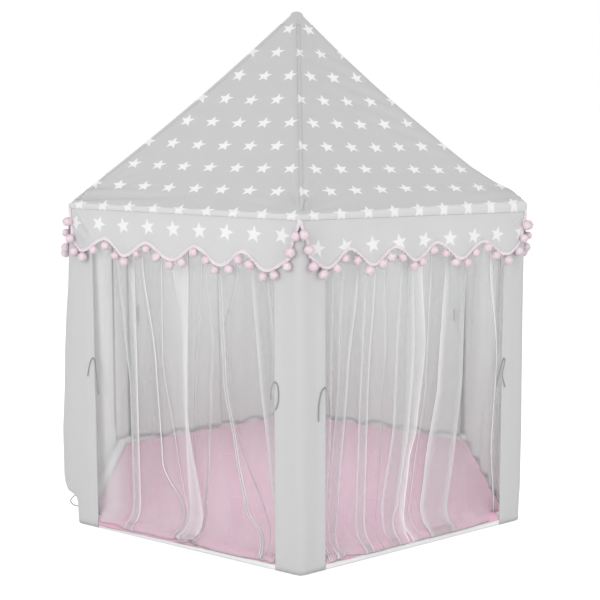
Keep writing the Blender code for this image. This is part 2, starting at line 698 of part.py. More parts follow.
def ribbon_tie(name, face, at_start):
    """A tie near the start or the end of a face."""
    edge = STRIP_WIDTH - mitre(STRIP_OUT) - TIE_INSET
    out = STRIP_OUT + FIT + TIE_DIAMETER / 2
    points = []
    for aside, rise in TIE_ROUTE:
        across = edge + aside if at_start else SIDE - edge - aside
        points.append(on_face(face, across, out, TIE_HEIGHT + rise))
    route = smooth_route(points)
    path = bpy.data.curves.new(name, "CURVE")
    path.dimensions = "3D"
    path.bevel_depth = TIE_DIAMETER / 2
    path.bevel_resolution = 2
    path.use_fill_caps = True
    path.materials.append(RIBBON_FINISH)
    spline = path.splines.new("POLY")
    spline.points.add(len(route) - 1)
    for point, place in zip(spline.points, route):
        point.co = (*place, 1)
    PARTS.objects.link(bpy.data.objects.new(name, path))


frame()
roof_canopy()
pompom_trim()
for strip_index in range(SIDES):
    corner_strip(strip_index)
base_tunnel()
curtains_and_walls()
left_side_wall()
floor_mat()
ribbon_tie("left_door_tie_outer", FRONT_LEFT, True)
ribbon_tie("left_door_tie_inner", FRONT_LEFT, False)
ribbon_tie("right_door_tie_inner", FRONT_RIGHT, True)
ribbon_tie("right_door_tie_outer", FRONT_RIGHT, False)
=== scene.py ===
"""Looks of a hexagonal children's play tent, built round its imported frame. Metres, +Z up, front corner at -Y."""
import math
import random

import bmesh
import bpy
from mathutils import Matrix, Vector, noise


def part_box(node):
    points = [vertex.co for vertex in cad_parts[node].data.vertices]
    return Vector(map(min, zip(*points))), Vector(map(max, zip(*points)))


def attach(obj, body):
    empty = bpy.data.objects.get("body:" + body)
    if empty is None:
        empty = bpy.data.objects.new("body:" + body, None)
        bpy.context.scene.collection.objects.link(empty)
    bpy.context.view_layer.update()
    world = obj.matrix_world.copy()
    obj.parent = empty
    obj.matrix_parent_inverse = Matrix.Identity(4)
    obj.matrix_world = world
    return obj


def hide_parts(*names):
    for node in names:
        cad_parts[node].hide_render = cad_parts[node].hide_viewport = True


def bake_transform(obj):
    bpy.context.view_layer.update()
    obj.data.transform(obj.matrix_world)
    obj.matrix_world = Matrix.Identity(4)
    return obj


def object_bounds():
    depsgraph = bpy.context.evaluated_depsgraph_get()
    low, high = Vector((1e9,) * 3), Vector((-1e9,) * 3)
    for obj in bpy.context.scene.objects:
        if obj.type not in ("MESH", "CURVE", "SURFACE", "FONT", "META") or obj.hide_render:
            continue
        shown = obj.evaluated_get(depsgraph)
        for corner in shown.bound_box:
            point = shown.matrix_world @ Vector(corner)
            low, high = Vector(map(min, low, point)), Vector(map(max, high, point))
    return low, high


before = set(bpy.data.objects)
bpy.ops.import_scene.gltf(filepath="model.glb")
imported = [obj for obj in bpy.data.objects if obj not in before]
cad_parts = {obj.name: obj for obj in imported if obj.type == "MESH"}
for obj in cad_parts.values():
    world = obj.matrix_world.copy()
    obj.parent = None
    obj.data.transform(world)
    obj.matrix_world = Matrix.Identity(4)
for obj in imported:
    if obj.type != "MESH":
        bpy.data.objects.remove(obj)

cad_low, cad_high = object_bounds()


# The camera of the photograph. It stands in front of the tent's front corner, about a quarter of a
# metre above the eave, looks slightly down, and its view is shifted to keep the tip in.
CAMERA_PLACE = (-0.0274, -3.1226, 1.1038)
CAMERA_LENS = 64.35
CAMERA_SENSOR = 36.0
CAMERA_DOWN = math.radians(6.0)
CAMERA_YAW = math.radians(-0.654)
CAMERA_ROLL = math.radians(-0.143)
CAMERA_SHIFT = -0.1315

camera = bpy.data.objects.new("camera", bpy.data.cameras.new("camera"))
camera.data.lens = CAMERA_LENS
camera.data.sensor_width = CAMERA_SENSOR
camera.data.shift_y = CAMERA_SHIFT
camera.matrix_world = (
    Matrix.Translation(CAMERA_PLACE)
    @ Matrix.Rotation(CAMERA_YAW, 4, "Z")
    @ Matrix.Rotation(math.pi / 2 - CAMERA_DOWN, 4, "X")
    @ Matrix.Rotation(CAMERA_ROLL, 4, "Z")
)
bpy.context.scene.collection.objects.link(camera)
bpy.context.scene.camera = camera
bpy.context.scene.view_settings.view_transform = "Standard"


# The studio: a white paper floor under even light from all round, with a large soft lamp before the
# tent on each side and a bulb inside it. The camera sees paper and background white, but for a shadow.
WORLD_LIGHT = 0.78
PAPER_GLOW = 0.62
PAPER_COLOUR = (0.80, 0.80, 0.80)
FLOOR_SIZE = 30.0
FLOOR_DROP = 0.0005


def add_node(tree, kind, inputs=None, **settings):
    """Adds a node, with its settings and with values or links on its inputs."""
    node = tree.nodes.new(kind)
    for name, value in settings.items():
        setattr(node, name, value)
    for key, value in (inputs or {}).items():
        if isinstance(value, bpy.types.NodeSocket):
            tree.links.new(value, node.inputs[key])
        else:
            node.inputs[key].default_value = value
    return node


def math_node(tree, operation, *values, clamp=False):
    """One sum as a node, and its result."""
    return add_node(tree, "ShaderNodeMath", dict(enumerate(values)), operation=operation, use_clamp=clamp).outputs[0]


def seen_white(tree):
    """1 for the camera and for what it sees in gloss or through glass."""
    path = add_node(tree, "ShaderNodeLightPath")
    either = math_node(tree, "MAXIMUM", path.outputs["Is Camera Ray"], path.outputs["Is Glossy Ray"])
    return math_node(tree, "MAXIMUM", either, path.outputs["Is Transmission Ray"])


world = bpy.data.worlds.new("studio")
bpy.context.scene.world = world
world.use_nodes = True
tree = world.node_tree
tree.nodes.clear()
lit = add_node(tree, "ShaderNodeBackground", {"Color": (1, 1, 1, 1), "Strength": WORLD_LIGHT})
seen = add_node(tree, "ShaderNodeBackground", {"Color": (1, 1, 1, 1), "Strength": 1.0})
choice = add_node(tree, "ShaderNodeMixShader", {0: seen_white(tree), 1: lit.outputs[0], 2: seen.outputs[0]})
add_node(tree, "ShaderNodeOutputWorld", {"Surface": choice.outputs[0]})

paper = bpy.data.materials.new("white paper")
paper.use_nodes = True
tree = paper.node_tree
tree.nodes.clear()
dull = add_node(tree, "ShaderNodeBsdfDiffuse", {"Color": (*PAPER_COLOUR, 1)})
glow = add_node(tree, "ShaderNodeEmission", {"Color": (1, 1, 1, 1), "Strength": PAPER_GLOW})
bright = add_node(tree, "ShaderNodeAddShader", {0: dull.outputs[0], 1: glow.outputs[0]})
choice = add_node(tree, "ShaderNodeMixShader", {0: seen_white(tree), 1: dull.outputs[0], 2: bright.outputs[0]})
add_node(tree, "ShaderNodeOutputMaterial", {"Surface": choice.outputs[0]})

floor_sheet = bmesh.new()
bmesh.ops.create_grid(floor_sheet, x_segments=1, y_segments=1, size=FLOOR_SIZE / 2,
                      matrix=Matrix.Translation((0, 0, -FLOOR_DROP)))
floor_mesh = bpy.data.meshes.new("floor")
floor_sheet.to_mesh(floor_mesh)
floor_sheet.free()
floor_mesh.materials.append(paper)
floor = bpy.data.objects.new("floor", floor_mesh)
bpy.context.scene.collection.objects.link(floor)

# Where the lamps point, and each one's place, size and strength in watts
LAMP_AIM = Vector((0, 0, 0.7))
LAMPS = (
    ("key lamp", (-2.6, -3.9, 2.0), 2.4, 54.0),
    ("fill lamp", (3.0, -3.2, 1.8), 2.2, 30.0),
)
# A bare soft bulb hung in the tent, so that its inside is as light as its outside; a little green, against the
# pink that comes back from the mat
BULB_PLACE = (0.0, -0.02, 0.70)
BULB_SIZE = 0.20
BULB_STRENGTH = 7.0
BULB_COLOUR = (0.92, 1.0, 0.965)
bulb_light = bpy.data.lights.new("bulb in the tent", "POINT")
bulb_light.shadow_soft_size = BULB_SIZE
bulb_light.energy = BULB_STRENGTH
bulb_light.color = BULB_COLOUR
bulb = bpy.data.objects.new("bulb in the tent", bulb_light)
bulb.location = BULB_PLACE
bulb.visible_camera = False
bulb.visible_glossy = False
bpy.context.scene.collection.objects.link(bulb)
for name, place, size, strength in LAMPS:
    light = bpy.data.lights.new(name, "AREA")
    light.size = size
    light.energy = strength
    lamp = bpy.data.objects.new(name, light)
    lamp.matrix_world = Matrix.Translation(place) @ (
        (LAMP_AIM - Vector(place)).to_track_quat("-Z", "Y").to_matrix().to_4x4())
    bpy.context.scene.collection.objects.link(lamp)


# The ribbons that tie the curtains back: narrow grey ribbon, sewn at its middle to the edge of a
# corner strip, with both tails hanging. Two more are sewn to the strips beside the rear left wall.
TENT = "tent"
FRONT_RIGHT, RIGHT_SIDE, BACK_RIGHT, BACK_LEFT, LEFT_SIDE, FRONT_LEFT = range(6)
SIDES = 6
HALF_SECTOR = math.pi / SIDES
UP = Vector((0, 0, 1))
post_low, post_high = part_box("corner_post_1")
eave_low, eave_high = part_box("eave_tube_1")
RING_RADIUS = -(post_low.y + post_high.y) / 2
TUBE_RADIUS = (post_high.x - post_low.x) / 2
EAVE_HEIGHT = (eave_low.z + eave_high.z) / 2
APOTHEM = RING_RADIUS * math.cos(HALF_SECTOR)
SIDE = RING_RADIUS

RIBBON_WIDTH = 0.0034
RIBBON_THICKNESS = 0.0005
RIBBON_SAMPLES = 4
RIBBON_DARK = (0.22, 0.225, 0.23)
RIBBON_LIGHT = (0.34, 0.345, 0.35)
TAIL_TWISTS = (math.radians(35), math.radians(-50))
STRIP_EDGE = 0.0611
STRIP_FACE = 0.0155
TIE_INSET = 0.004
TIE_HEIGHT = 0.460
TIE_OUT = STRIP_FACE + 0.0018
REAR_TIE_HEIGHT = 0.466
REAR_TIE_OUT = -0.0185


def ring_point(index, radius, height):
    """A point at a radius and a height in the direction of a corner, the first of which is in front."""
    angle = 2 * math.pi * index / SIDES - math.pi / 2
    return Vector((radius * math.cos(angle), radius * math.sin(angle), height))


def corner(index, height, out=0.0):
    """A corner of the hexagon whose sides lie out from the plane of the tubes."""
    return ring_point(index, (APOTHEM + out) / math.cos(HALF_SECTOR), height)


def face_axes(face):
    """A face's corner at its start, the direction along it and the direction out of it."""
    start = corner(face, 0)
    along = (corner(face + 1, 0) - start).normalized()
    return start, along, along.cross(UP)


def on_face(face, across, out, height):
    """A point of a face, across from the corner's axis at its start and out from its tubes."""
    start, along, outward = face_axes(face)
    return start + along * across + outward * out + UP * height


def route_length(route):
    """The length of a list of points."""
    return sum((end - start).length for start, end in zip(route, route[1:]))


def smooth_route(points, samples):
    """Points of a smooth curve through the given ones."""
    points = [Vector(point) for point in points]
    ends = [2 * points[0] - points[1], *points, 2 * points[-1] - points[-2]]
    route = []
    for before, start, end, after in zip(ends, ends[1:], ends[2:], ends[3:]):
        for sample in range(samples):
            t = sample / samples
            route.append((2 * start + (end - before) * t + (2 * before - 5 * start + 4 * end - after) * t ** 2
                          + (3 * start - before - 3 * end + after) * t ** 3) / 2)
    return route + [points[-1]]


def link_piece(name, mesh, material, body=TENT):
    """Puts a finished mesh into the scene as a piece that moves with a body."""
    piece = bpy.data.objects.new(name, mesh)
    mesh.materials.clear()
    mesh.materials.append(material)
    bpy.context.scene.collection.objects.link(piece)
    if body:
        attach(piece, body)
    return piece


def new_finish(name, roughness, **sockets):
    """A material with one Principled shader, and its node tree and shader."""
    finish = bpy.data.materials.new(name)
    finish.use_nodes = True
    shader = finish.node_tree.nodes["Principled BSDF"]
    shader.inputs["Roughness"].default_value = roughness
    for key, value in sockets.items():
        shader.inputs[key.replace("_", " ")].default_value = value
    return finish, finish.node_tree, shader


def own_place(tree):
    """The place on the piece itself, which stays with it as it moves."""
    return add_node(tree, "ShaderNodeTexCoord").outputs["Object"]


def blended(tree, share, *colours):
    """Two colours mixed by a share, each given as three numbers or as a socket."""
    ends = {key: (*colour, 1) if isinstance(colour, tuple) else colour for key, colour in zip((6, 7), colours)}
    return add_node(tree, "ShaderNodeMix", {0: share, **ends}, data_type="RGBA").outputs[2]


def set_surface(tree, shader, shade, height, strength, distance):
    """Gives a shader its colour and its fine relief, and returns the relief's normal."""
    relief = add_node(tree, "ShaderNodeBump", {"Height": height, "Strength": strength, "Distance": distance}).outputs[0]
    tree.links.new(shade, shader.inputs["Base Color"])
    tree.links.new(relief, shader.inputs["Normal"])
    return relief


ribbon_finish, tree, shader = new_finish("grey ribbon", 0.45, Sheen_Weight=0.2)
ribs = add_node(tree, "ShaderNodeTexWave", {"Vector": own_place(tree), "Scale": 320.0, "Distortion": 0.4},
                bands_direction="Z").outputs["Fac"]
set_surface(tree, shader, blended(tree, ribs, RIBBON_DARK, RIBBON_LIGHT), ribs, 0.4, 0.0003)


def ribbon_tail(name, face, at_start, tail, out, height, twist):
    """One hanging tail, flat to the cloth where it is sewn and turning a little on its way down."""
    edge = STRIP_EDGE - TIE_INSET
    points = []
    for aside, rise in tail:
        across = edge + aside if at_start else SIDE - edge - aside
        points.append(on_face(face, across, out, height + rise))
    route = smooth_route(points, RIBBON_SAMPLES)
    along = face_axes(face)[1]
    strip = bmesh.new()
    rings = []
    for index, point in enumerate(route):
        turn = twist * math.sin(math.pi * index / (len(route) - 1))
        ahead = (route[min(index + 1, len(route) - 1)] - route[max(index - 1, 0)]).normalized()
        across = (Matrix.Rotation(turn, 3, ahead) @ along).cross(ahead).cross(ahead).normalized()
        depth = ahead.cross(across) * RIBBON_THICKNESS / 2
        half = across * RIBBON_WIDTH / 2
        rings.append([strip.verts.new(point + side + lift) for side, lift in
                      ((-half, -depth), (half, -depth), (half, depth), (-half, depth))])
    for ring, following in zip(rings, rings[1:]):
        for k in range(4):
            strip.faces.new((ring[k], ring[(k + 1) % 4], following[(k + 1) % 4], following[k]))
    strip.faces.new(rings[0][::-1])
    strip.faces.new(rings[-1])
    bmesh.ops.recalc_face_normals(strip, faces=strip.faces)
    mesh = bpy.data.meshes.new(name)
    strip.to_mesh(mesh)
    strip.free()
    piece = link_piece(name, mesh, ribbon_finish)
    length = route_length(route)
    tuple(route[0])
    return piece


# Each tie: face, at its start or its end, how far out, its height, and its two tails as (aside, rise)
TIES = (
    ("left_door_tie_outer", FRONT_LEFT, True, TIE_OUT, TIE_HEIGHT,
     ((0.0, 0.0), (-0.0085, -0.010), (-0.0150, -0.028), (-0.0195, -0.052)),
     ((0.0, 0.0), (0.0050, -0.006), (0.0095, -0.030), (0.0120, -0.060), (0.0165, -0.097))),
    ("left_door_tie_inner", FRONT_LEFT, False, TIE_OUT, TIE_HEIGHT + 0.0035,
     ((0.0, 0.0), (0.0070, -0.006), (0.0120, -0.022), (0.0125, -0.044)),
     ((0.0, 0.0), (-0.0055, -0.006), (-0.0085, -0.022), (-0.0075, -0.048), (0.0005, -0.068))),
    ("right_door_tie_inner", FRONT_RIGHT, True, TIE_OUT, TIE_HEIGHT - 0.010,
     ((0.0, 0.0), (-0.0100, -0.012), (-0.0165, -0.045), (-0.0165, -0.080)),
     ((0.0, 0.0), (0.0055, -0.006), (0.0125, -0.032), (0.0145, -0.076))),
    ("right_door_tie_outer", FRONT_RIGHT, False, TIE_OUT, TIE_HEIGHT - 0.0065,
     ((0.0, 0.0), (0.0095, -0.022), (0.0210, -0.060), (0.0210, -0.075)),
     ((0.0, 0.0), (-0.0055, -0.010), (0.0035, -0.042), (-0.0065, -0.079))),
    ("rear_left_tie", BACK_LEFT, False, REAR_TIE_OUT, REAR_TIE_HEIGHT,
     ((0.0, 0.0), (-0.0020, -0.020), (-0.0005, -0.045), (-0.0025, -0.072)),
     ((0.0, 0.0), (0.0030, -0.015), (0.0015, -0.032), (0.0020, -0.050))),
    ("rear_right_tie", BACK_RIGHT, True, REAR_TIE_OUT, REAR_TIE_HEIGHT - 0.018,
     ((0.0, 0.0), (-0.0015, -0.012), (-0.0025, -0.028), (-0.0010, -0.042)),
     ((0.0, 0.0), (0.0020, -0.010), (0.0010, -0.024), (0.0025, -0.036))),
)
for name, face, at_start, out, height, tail, other_tail in TIES:
    first = ribbon_tail(name + ".tail_a", face, at_start, tail, out, height, TAIL_TWISTS[0])
    ribbon_tail(name + ".tail_b", face, at_start, other_tail, out, height, TAIL_TWISTS[1])
    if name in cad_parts:
        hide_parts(name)


# The frame: push-fit tubes of white plastic in moulded grey connectors at the feet, the eaves and
# the tip. The cover hides them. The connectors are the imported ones, with a better finish, and the
# tubes are drawn round along the same lines, the roof's bent by the pull of the cloth.
COVER_GAP = 0.0128
TUBE_WALL = 0.0012
TUBE_SIDES = 28
ROOF_TUBE_STEPS = 24
EAVE_REACH = 0.020
APEX_REACH = 0.030
FOOT_REACH = 0.014
BASE_HEIGHT = (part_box("base_tube_2")[0].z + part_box("base_tube_2")[1].z) / 2
APEX_HEIGHT = cad_high.z - 0.0140
RIDGE_PITCH = math.atan2(APEX_HEIGHT - EAVE_HEIGHT, RING_RADIUS)
# How far each ridge bows in, from the front corner round to the left
RIDGE_BOWS = (0.019, 0.0252, 0.020, 0.018, 0.016, 0.011)
# The right-hand ridge bends more sharply near the eave: share of the way up, and share of its bow
SHARP_RIDGE = 1
SHARP_BOW = ((0.0, 0.0), (0.055, 0.13), (0.11, 0.56), (0.19, 0.93), (0.26, 1.0), (0.50, 1.0), (0.62, 0.93),
             (0.76, 0.71), (0.90, 0.34), (1.0, 0.0))


def ridge_axis(index, share):
    """Radius and height on a roof tube's axis, a share of the way from the eave to the tip."""
    swing = math.sin(math.pi * share)
    if index % SIDES == SHARP_RIDGE:
        for (low, least), (high, most) in zip(SHARP_BOW, SHARP_BOW[1:]):
            if low <= share <= high:
                swing = least + (most - least) * (share - low) / (high - low)
    bow = RIDGE_BOWS[index % SIDES] * swing
    radius = RING_RADIUS * (1 - share) - bow * math.sin(RIDGE_PITCH)
    return radius, EAVE_HEIGHT + (APEX_HEIGHT - EAVE_HEIGHT) * share - bow * math.cos(RIDGE_PITCH)


def line_mesh(name, lines):
    """A mesh of lines through lists of points."""
    verts, edges = [], []
    for line in lines:
        first = len(verts)
        verts += [tuple(point) for point in line]
        edges += [(k, k + 1) for k in range(first, len(verts) - 1)]
    mesh = bpy.data.meshes.new(name)
    mesh.from_pydata(verts, edges, [])
    return mesh


def new_pattern(name, **inputs):
    """An empty node tree for a geometry pattern, with its named inputs, and what they give."""
    kinds = {float: "NodeSocketFloat", int: "NodeSocketInt", str: "NodeSocketMaterial"}
    pattern = bpy.data.node_groups.new(name, "GeometryNodeTree")
    pattern.interface.new_socket("Geometry", in_out="INPUT", socket_type="NodeSocketGeometry")
    for key, value in inputs.items():
        socket = pattern.interface.new_socket(key.replace("_", " "), in_out="INPUT", socket_type=kinds[type(value)])
        if not isinstance(value, str):
            socket.default_value = value
    pattern.interface.new_socket("Geometry", in_out="OUTPUT", socket_type="NodeSocketGeometry")
    return pattern, add_node(pattern, "NodeGroupInput").outputs


def close_pattern(pattern, geometry, material):
    """Ends a pattern in smooth, real geometry with its material."""
    smooth = add_node(pattern, "GeometryNodeSetShadeSmooth", {"Geometry": geometry})
    real = add_node(pattern, "GeometryNodeRealizeInstances", {"Geometry": smooth.outputs[0]})
    done = add_node(pattern, "GeometryNodeSetMaterial", {"Geometry": real.outputs[0], "Material": material})
    add_node(pattern, "NodeGroupOutput", {"Geometry": done.outputs[0]})


def grow(name, mesh, pattern, material, body=TENT, **values):
    """The piece of plain mesh that a pattern makes of a guide mesh."""
    guide = bpy.data.objects.new(name + " guide", mesh)
    modifier = guide.modifiers.new("Pattern", "NODES")
    modifier.node_group = pattern
    sockets = {item.name: item.identifier for item in pattern.interface.items_tree
               if item.item_type == "SOCKET" and item.in_out == "INPUT"}
    modifier[sockets["Material"]] = material
    for key, value in values.items():
        modifier[sockets[key.replace("_", " ")]] = value
    bpy.context.scene.collection.objects.link(guide)
    bpy.context.view_layer.update()
    made = bpy.data.meshes.new_from_object(guide.evaluated_get(bpy.context.evaluated_depsgraph_get()))
    bpy.data.objects.remove(guide, do_unlink=True)
    made.name = name
    return link_piece(name, made, material, body)


round_rod, given = new_pattern("round rod", Radius=0.01, Sides=12, Capped=0, Material="")
route = add_node(round_rod, "GeometryNodeMeshToCurve", {"Mesh": given["Geometry"]})
ring = add_node(round_rod, "GeometryNodeCurvePrimitiveCircle",
                {"Radius": given["Radius"], "Resolution": given["Sides"]})
swept = add_node(round_rod, "GeometryNodeCurveToMesh",
                 {"Curve": route.outputs[0], "Profile Curve": ring.outputs[0], "Fill Caps": given["Capped"]})
close_pattern(round_rod, swept.outputs[0], given["Material"])


def noise_node(tree, place, scale, detail, **more):
    """Smooth noise as a node, and its value."""
    values = {"Vector": place, "Scale": scale, "Detail": detail, **more}
    return add_node(tree, "ShaderNodeTexNoise", values).outputs["Fac"]


def moulded_plastic(name, light, dark, roughness):
    """Moulded plastic with faint flow marks and a fine grain."""
    finish, tree, shader = new_finish(name, roughness, Specular_IOR_Level=0.45)
    flow, grain = noise_node(tree, own_place(tree), 38.0, 4.0), noise_node(tree, own_place(tree), 900.0, 2.0)
    rough = add_node(tree, "ShaderNodeMapRange", {0: grain, 3: roughness - 0.06, 4: roughness + 0.08})
    tree.links.new(rough.outputs[0], shader.inputs["Roughness"])
    set_surface(tree, shader, blended(tree, flow, dark, light), grain, 0.15, 0.0002)
    return finish


tube_finish = moulded_plastic("white tube plastic", (0.84, 0.84, 0.83), (0.78, 0.78, 0.77), 0.36)
connector_finish = moulded_plastic("grey connector plastic", (0.55, 0.56, 0.57), (0.47, 0.48, 0.49), 0.42)
for name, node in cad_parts.items():
    if "connector" in name:
        node.data.materials.clear()
        node.data.materials.append(connector_finish)

tube_lines = []
for k in range(SIDES):
    for height, reach in ((BASE_HEIGHT, FOOT_REACH), (EAVE_HEIGHT, EAVE_REACH)):
        tube_lines.append([on_face(k, reach, 0, height), on_face(k, SIDE - reach, 0, height)])
    tube_lines.append([corner(k, BASE_HEIGHT + FOOT_REACH), corner(k, EAVE_HEIGHT - EAVE_REACH)])
    low, high = EAVE_REACH / RING_RADIUS, 1 - APEX_REACH / RING_RADIUS
    bent = []
    for step in range(ROOF_TUBE_STEPS + 1):
        bent.append(ring_point(k, *ridge_axis(k, low + (high - low) * step / ROOF_TUBE_STEPS)))
    tube_lines.append(bent)
tubes = grow("frame_tubes", line_mesh("tubes", tube_lines), round_rod, tube_finish, Radius=TUBE_RADIUS,
             Sides=TUBE_SIDES)
wall = tubes.modifiers.new("Wall", "SOLIDIFY")
wall.thickness = TUBE_WALL
wall.offset = -1
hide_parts(*[f"{run}_{k + 1}" for run in ("base_tube", "corner_post", "eave_tube", "roof_tube")
                     for k in range(SIDES)])


# The roof canopy: six gores of light grey polyester printed with white stars, sewn together along
# the ridges and pulled down over the roof tubes, with a narrow band round the eave. The pull bows
# its ridges in and leaves small wrinkles at the corners.
ROOF_CLOTH = 0.0011
VALANCE_IN = 0.0158
BAND_LOW = EAVE_HEIGHT - 0.013
# The band's hem is higher or lower at each corner, from the front one round
BAND_HEMS = (0.8500, 0.8350, 0.8430, 0.8430, 0.8450, 0.8490)
BAND_TOP = EAVE_HEIGHT + 0.0047
# The band's section: how far proud of the valance, and its share of the way from its hem to its top
BAND_SECTION = ((0.0012, 0.0), (0.0024, 0.22), (0.0031, 0.48), (0.0029, 0.70), (0.0017, 0.88), (-0.0004, 0.985),
                (-0.0021, 0.955), (-0.0033, 1.06))
BAND_SAMPLES = 2
BAND_ROWS = (len(BAND_SECTION) - 1) * BAND_SAMPLES + 1
GORE_START = -0.0030
GORE_COLUMNS = 60
GORE_ROWS = 62
COLUMN_CROWDING = 0.7
ROW_CROWDING = 0.5
TIP_ROWS = 6
GORE_SAG = 0.007
TIP_SHARE = 0.985
WRINKLE_DEPTH = 0.0026
WRINKLE_REACH = 0.13
WRINKLE_ANGLE = 0.34
PUCKER_DEPTH = 0.0016
PUCKER_REACH = 0.035
PUCKER_ANGLE = 0.21
# Folds that lie along the eave at each end of a gore: depth, and how far they run
EAVE_FOLDS = (((0.0012, 0.09), (0.0030, 0.14)), ((0.0018, 0.12), (0.0016, 0.12)), ((0.0016, 0.12), (0.0018, 0.12)),
              ((0.0018, 0.12), (0.0016, 0.12)), ((0.0016, 0.12), (0.0022, 0.14)), ((0.0095, 0.19), (0.0010, 0.08)))
FOLD_SPACING = 0.043
FOLD_START = 0.014
FOLD_HEIGHT = 0.075
CLOTH_WAVE = 0.0012
# Soft folds that run in from each ridge part of the way up: depth, from and to which rise, and slant
RIDGE_FOLDS = {(FRONT_LEFT, 0): (0.0034, 0.16, 0.66, 0.45), (FRONT_RIGHT, 1): (0.0036, 0.14, 0.74, -0.85),
               (RIGHT_SIDE, 0): (0.0026, 0.20, 0.60, 0.50), (BACK_RIGHT, 1): (0.0026, 0.15, 0.60, -0.50),
               (BACK_LEFT, 0): (0.0026, 0.25, 0.70, 0.40), (LEFT_SIDE, 1): (0.0026, 0.18, 0.62, -0.45)}
RIDGE_FOLD_SPACING = 0.088
RIDGE_FOLD_REACH = 0.14
PRINT_ACROSS = 0.077
PRINT_UP = 0.089
STAR_RADIUS = 0.0222
STAR_NOTCH = 0.0094
STAR_TILT = 0.30
STAR_EDGE = 0.0006
STAR_STRAY = 0.0015
ROOF_GREY = (0.672, 0.673, 0.674)
# The band's grey: the roof's cloth painted paler, as if more brightly lit
BAND_PAINTED_LIT_GREY = (0.80, 0.80, 0.802)
STAR_WHITE = (0.96, 0.96, 0.96)
# The print across each gore: its repeat, and how far a column lies from the gore's middle at the band and above it
GORE_PRINTS = ((0.0755, -0.004, 0.006), (0.077, 0.006, 0.006), (0.077, 0.020, 0.020),
               (0.077, -0.012, -0.012), (0.077, 0.015, 0.015), (0.079, 0.0065, 0.0090))
# How far its rows are pulled down toward each gore's far end
PRINT_DIPS = (0.012, 0.0, 0.0, 0.0, 0.0, 0.0)
# Where its rows lie, in metres of cloth up from the seam above the band
PRINT_ROWS = (-0.0095, 0.0705, 0.1535, 0.2375, 0.3275, 0.4175, 0.5115, 0.6065, 0.7035)
GORE_REPEATS = 12
CLOTH_THREAD = 0.0011
# Quads below this height belong to the band
BAND_EDGE = BAND_TOP + 0.0010


def mitre(out):
    """How far a layer's corner lies past the corner's axis, along the face."""
    return out * math.tan(HALF_SECTOR)


def ease(share):
    """Runs smoothly from 0 to 1."""
    share = min(max(share, 0.0), 1.0)
    return (1 - math.cos(math.pi * share)) / 2


def mix(start, end, share):
    """The value a share of the way from start to end."""
    return start + (end - start) * share


def waver(*place):
    """Smooth noise, from about -1 to 1, at a place given as three numbers."""
    return noise.noise(Vector(place))


def sew(name, panels):
    """One mesh of grid panels, each (columns, rows, place(u, v), cloth map(u, v)), merged where they meet.
    The cloth map gives metres on the flat cloth."""
    verts, faces, maps = [], [], []
    for columns, rows, place, pattern in panels:
        first = len(verts)
        for j in range(rows + 1):
            for i in range(columns + 1):
                verts.append(tuple(place(i / columns, j / rows)))
        for j in range(rows):
            for i in range(columns):
                a = first + j * (columns + 1) + i
                faces.append((a, a + 1, a + columns + 2, a + columns + 1))
                maps += [pattern(u / columns, v / rows) for u, v in ((i, j), (i + 1, j), (i + 1, j + 1), (i, j + 1))]
    mesh = bpy.data.meshes.new(name)
    mesh.from_pydata(verts, [], faces)
    layer = mesh.uv_layers.new(name="cloth map")
    layer.data.foreach_set("uv", [number for pair in maps for number in pair])
    merged = bmesh.new()
    merged.from_mesh(mesh)
    bmesh.ops.remove_doubles(merged, verts=merged.verts, dist=1e-5)
    bmesh.ops.dissolve_degenerate(merged, edges=merged.edges, dist=1e-6)
    merged.to_mesh(mesh)
    merged.free()
    mesh.shade_smooth()
    return mesh


def thicken(piece, thickness):
    """Gives a sheet its cloth's thickness, outwards from its inner surface."""
    shell = piece.modifiers.new("Cloth", "SOLIDIFY")
    shell.thickness = thickness
    shell.offset = 1


def sewn_piece(name, panels, finish, thickness):
    """A piece sewn from panels, with its cloth's thickness."""
    piece = link_piece(name, sew(name, panels), finish)
    thicken(piece, thickness)
    return piece


def canopy_ring(index, row):
    """Radius and height of the canopy's inner surface over a corner at a row counted from the band's hem."""
    if row < BAND_ROWS:
        proud, share = band_section[row]
        return (APOTHEM + VALANCE_IN + proud) / math.cos(HALF_SECTOR), mix(BAND_HEMS[index] - 0.001, BAND_TOP, share)
    row -= BAND_ROWS
    if row <= GORE_ROWS:
        climb = row / GORE_ROWS
        share = mix(GORE_START, TIP_SHARE, mix(climb, climb * climb, ROW_CROWDING))
        radius, height = ridge_axis(index, share)
        ahead_radius, ahead_height = ridge_axis(index, share + 0.001)
        tilt = math.atan((ahead_height - height) / (radius - ahead_radius) / math.cos(HALF_SECTOR))
        out = radius * math.cos(HALF_SECTOR) + COVER_GAP * math.sin(tilt)
        return out / math.cos(HALF_SECTOR), height + COVER_GAP * math.cos(tilt)
    share = (row - GORE_ROWS) / TIP_ROWS
    radius, height = canopy_ring(index, BAND_ROWS + GORE_ROWS)
    turn = ease(share) * math.pi / 2
    top = cad_high.z - ROOF_CLOTH
    return radius * math.cos(turn), mix(height, top, math.sin(turn))


band_section = [point.xy for point in smooth_route([(proud, share, 0) for proud, share in BAND_SECTION], BAND_SAMPLES)]
CANOPY_ROWS = BAND_ROWS + GORE_ROWS + TIP_ROWS
EAVE_ROW = BAND_ROWS
canopy_rings = [[canopy_ring(k, row) for row in range(CANOPY_ROWS + 1)] for k in range(SIDES)]
# The length of cloth from the eave's turn up to each row, along the middle of a gore
canopy_rise = [0.0]
for row in range(CANOPY_ROWS):
    (radius, height), (next_radius, next_height) = canopy_rings[0][row], canopy_rings[0][row + 1]
    climbed = math.hypot((radius - next_radius) * math.cos(HALF_SECTOR), next_height - height)
    canopy_rise.append(canopy_rise[-1] + climbed)
canopy_rise = [rise - canopy_rise[EAVE_ROW] for rise in canopy_rise]


def crowded(share):
    """Crowds the columns of a gore toward its ridges."""
    return mix(share, ease(share), COLUMN_CROWDING)


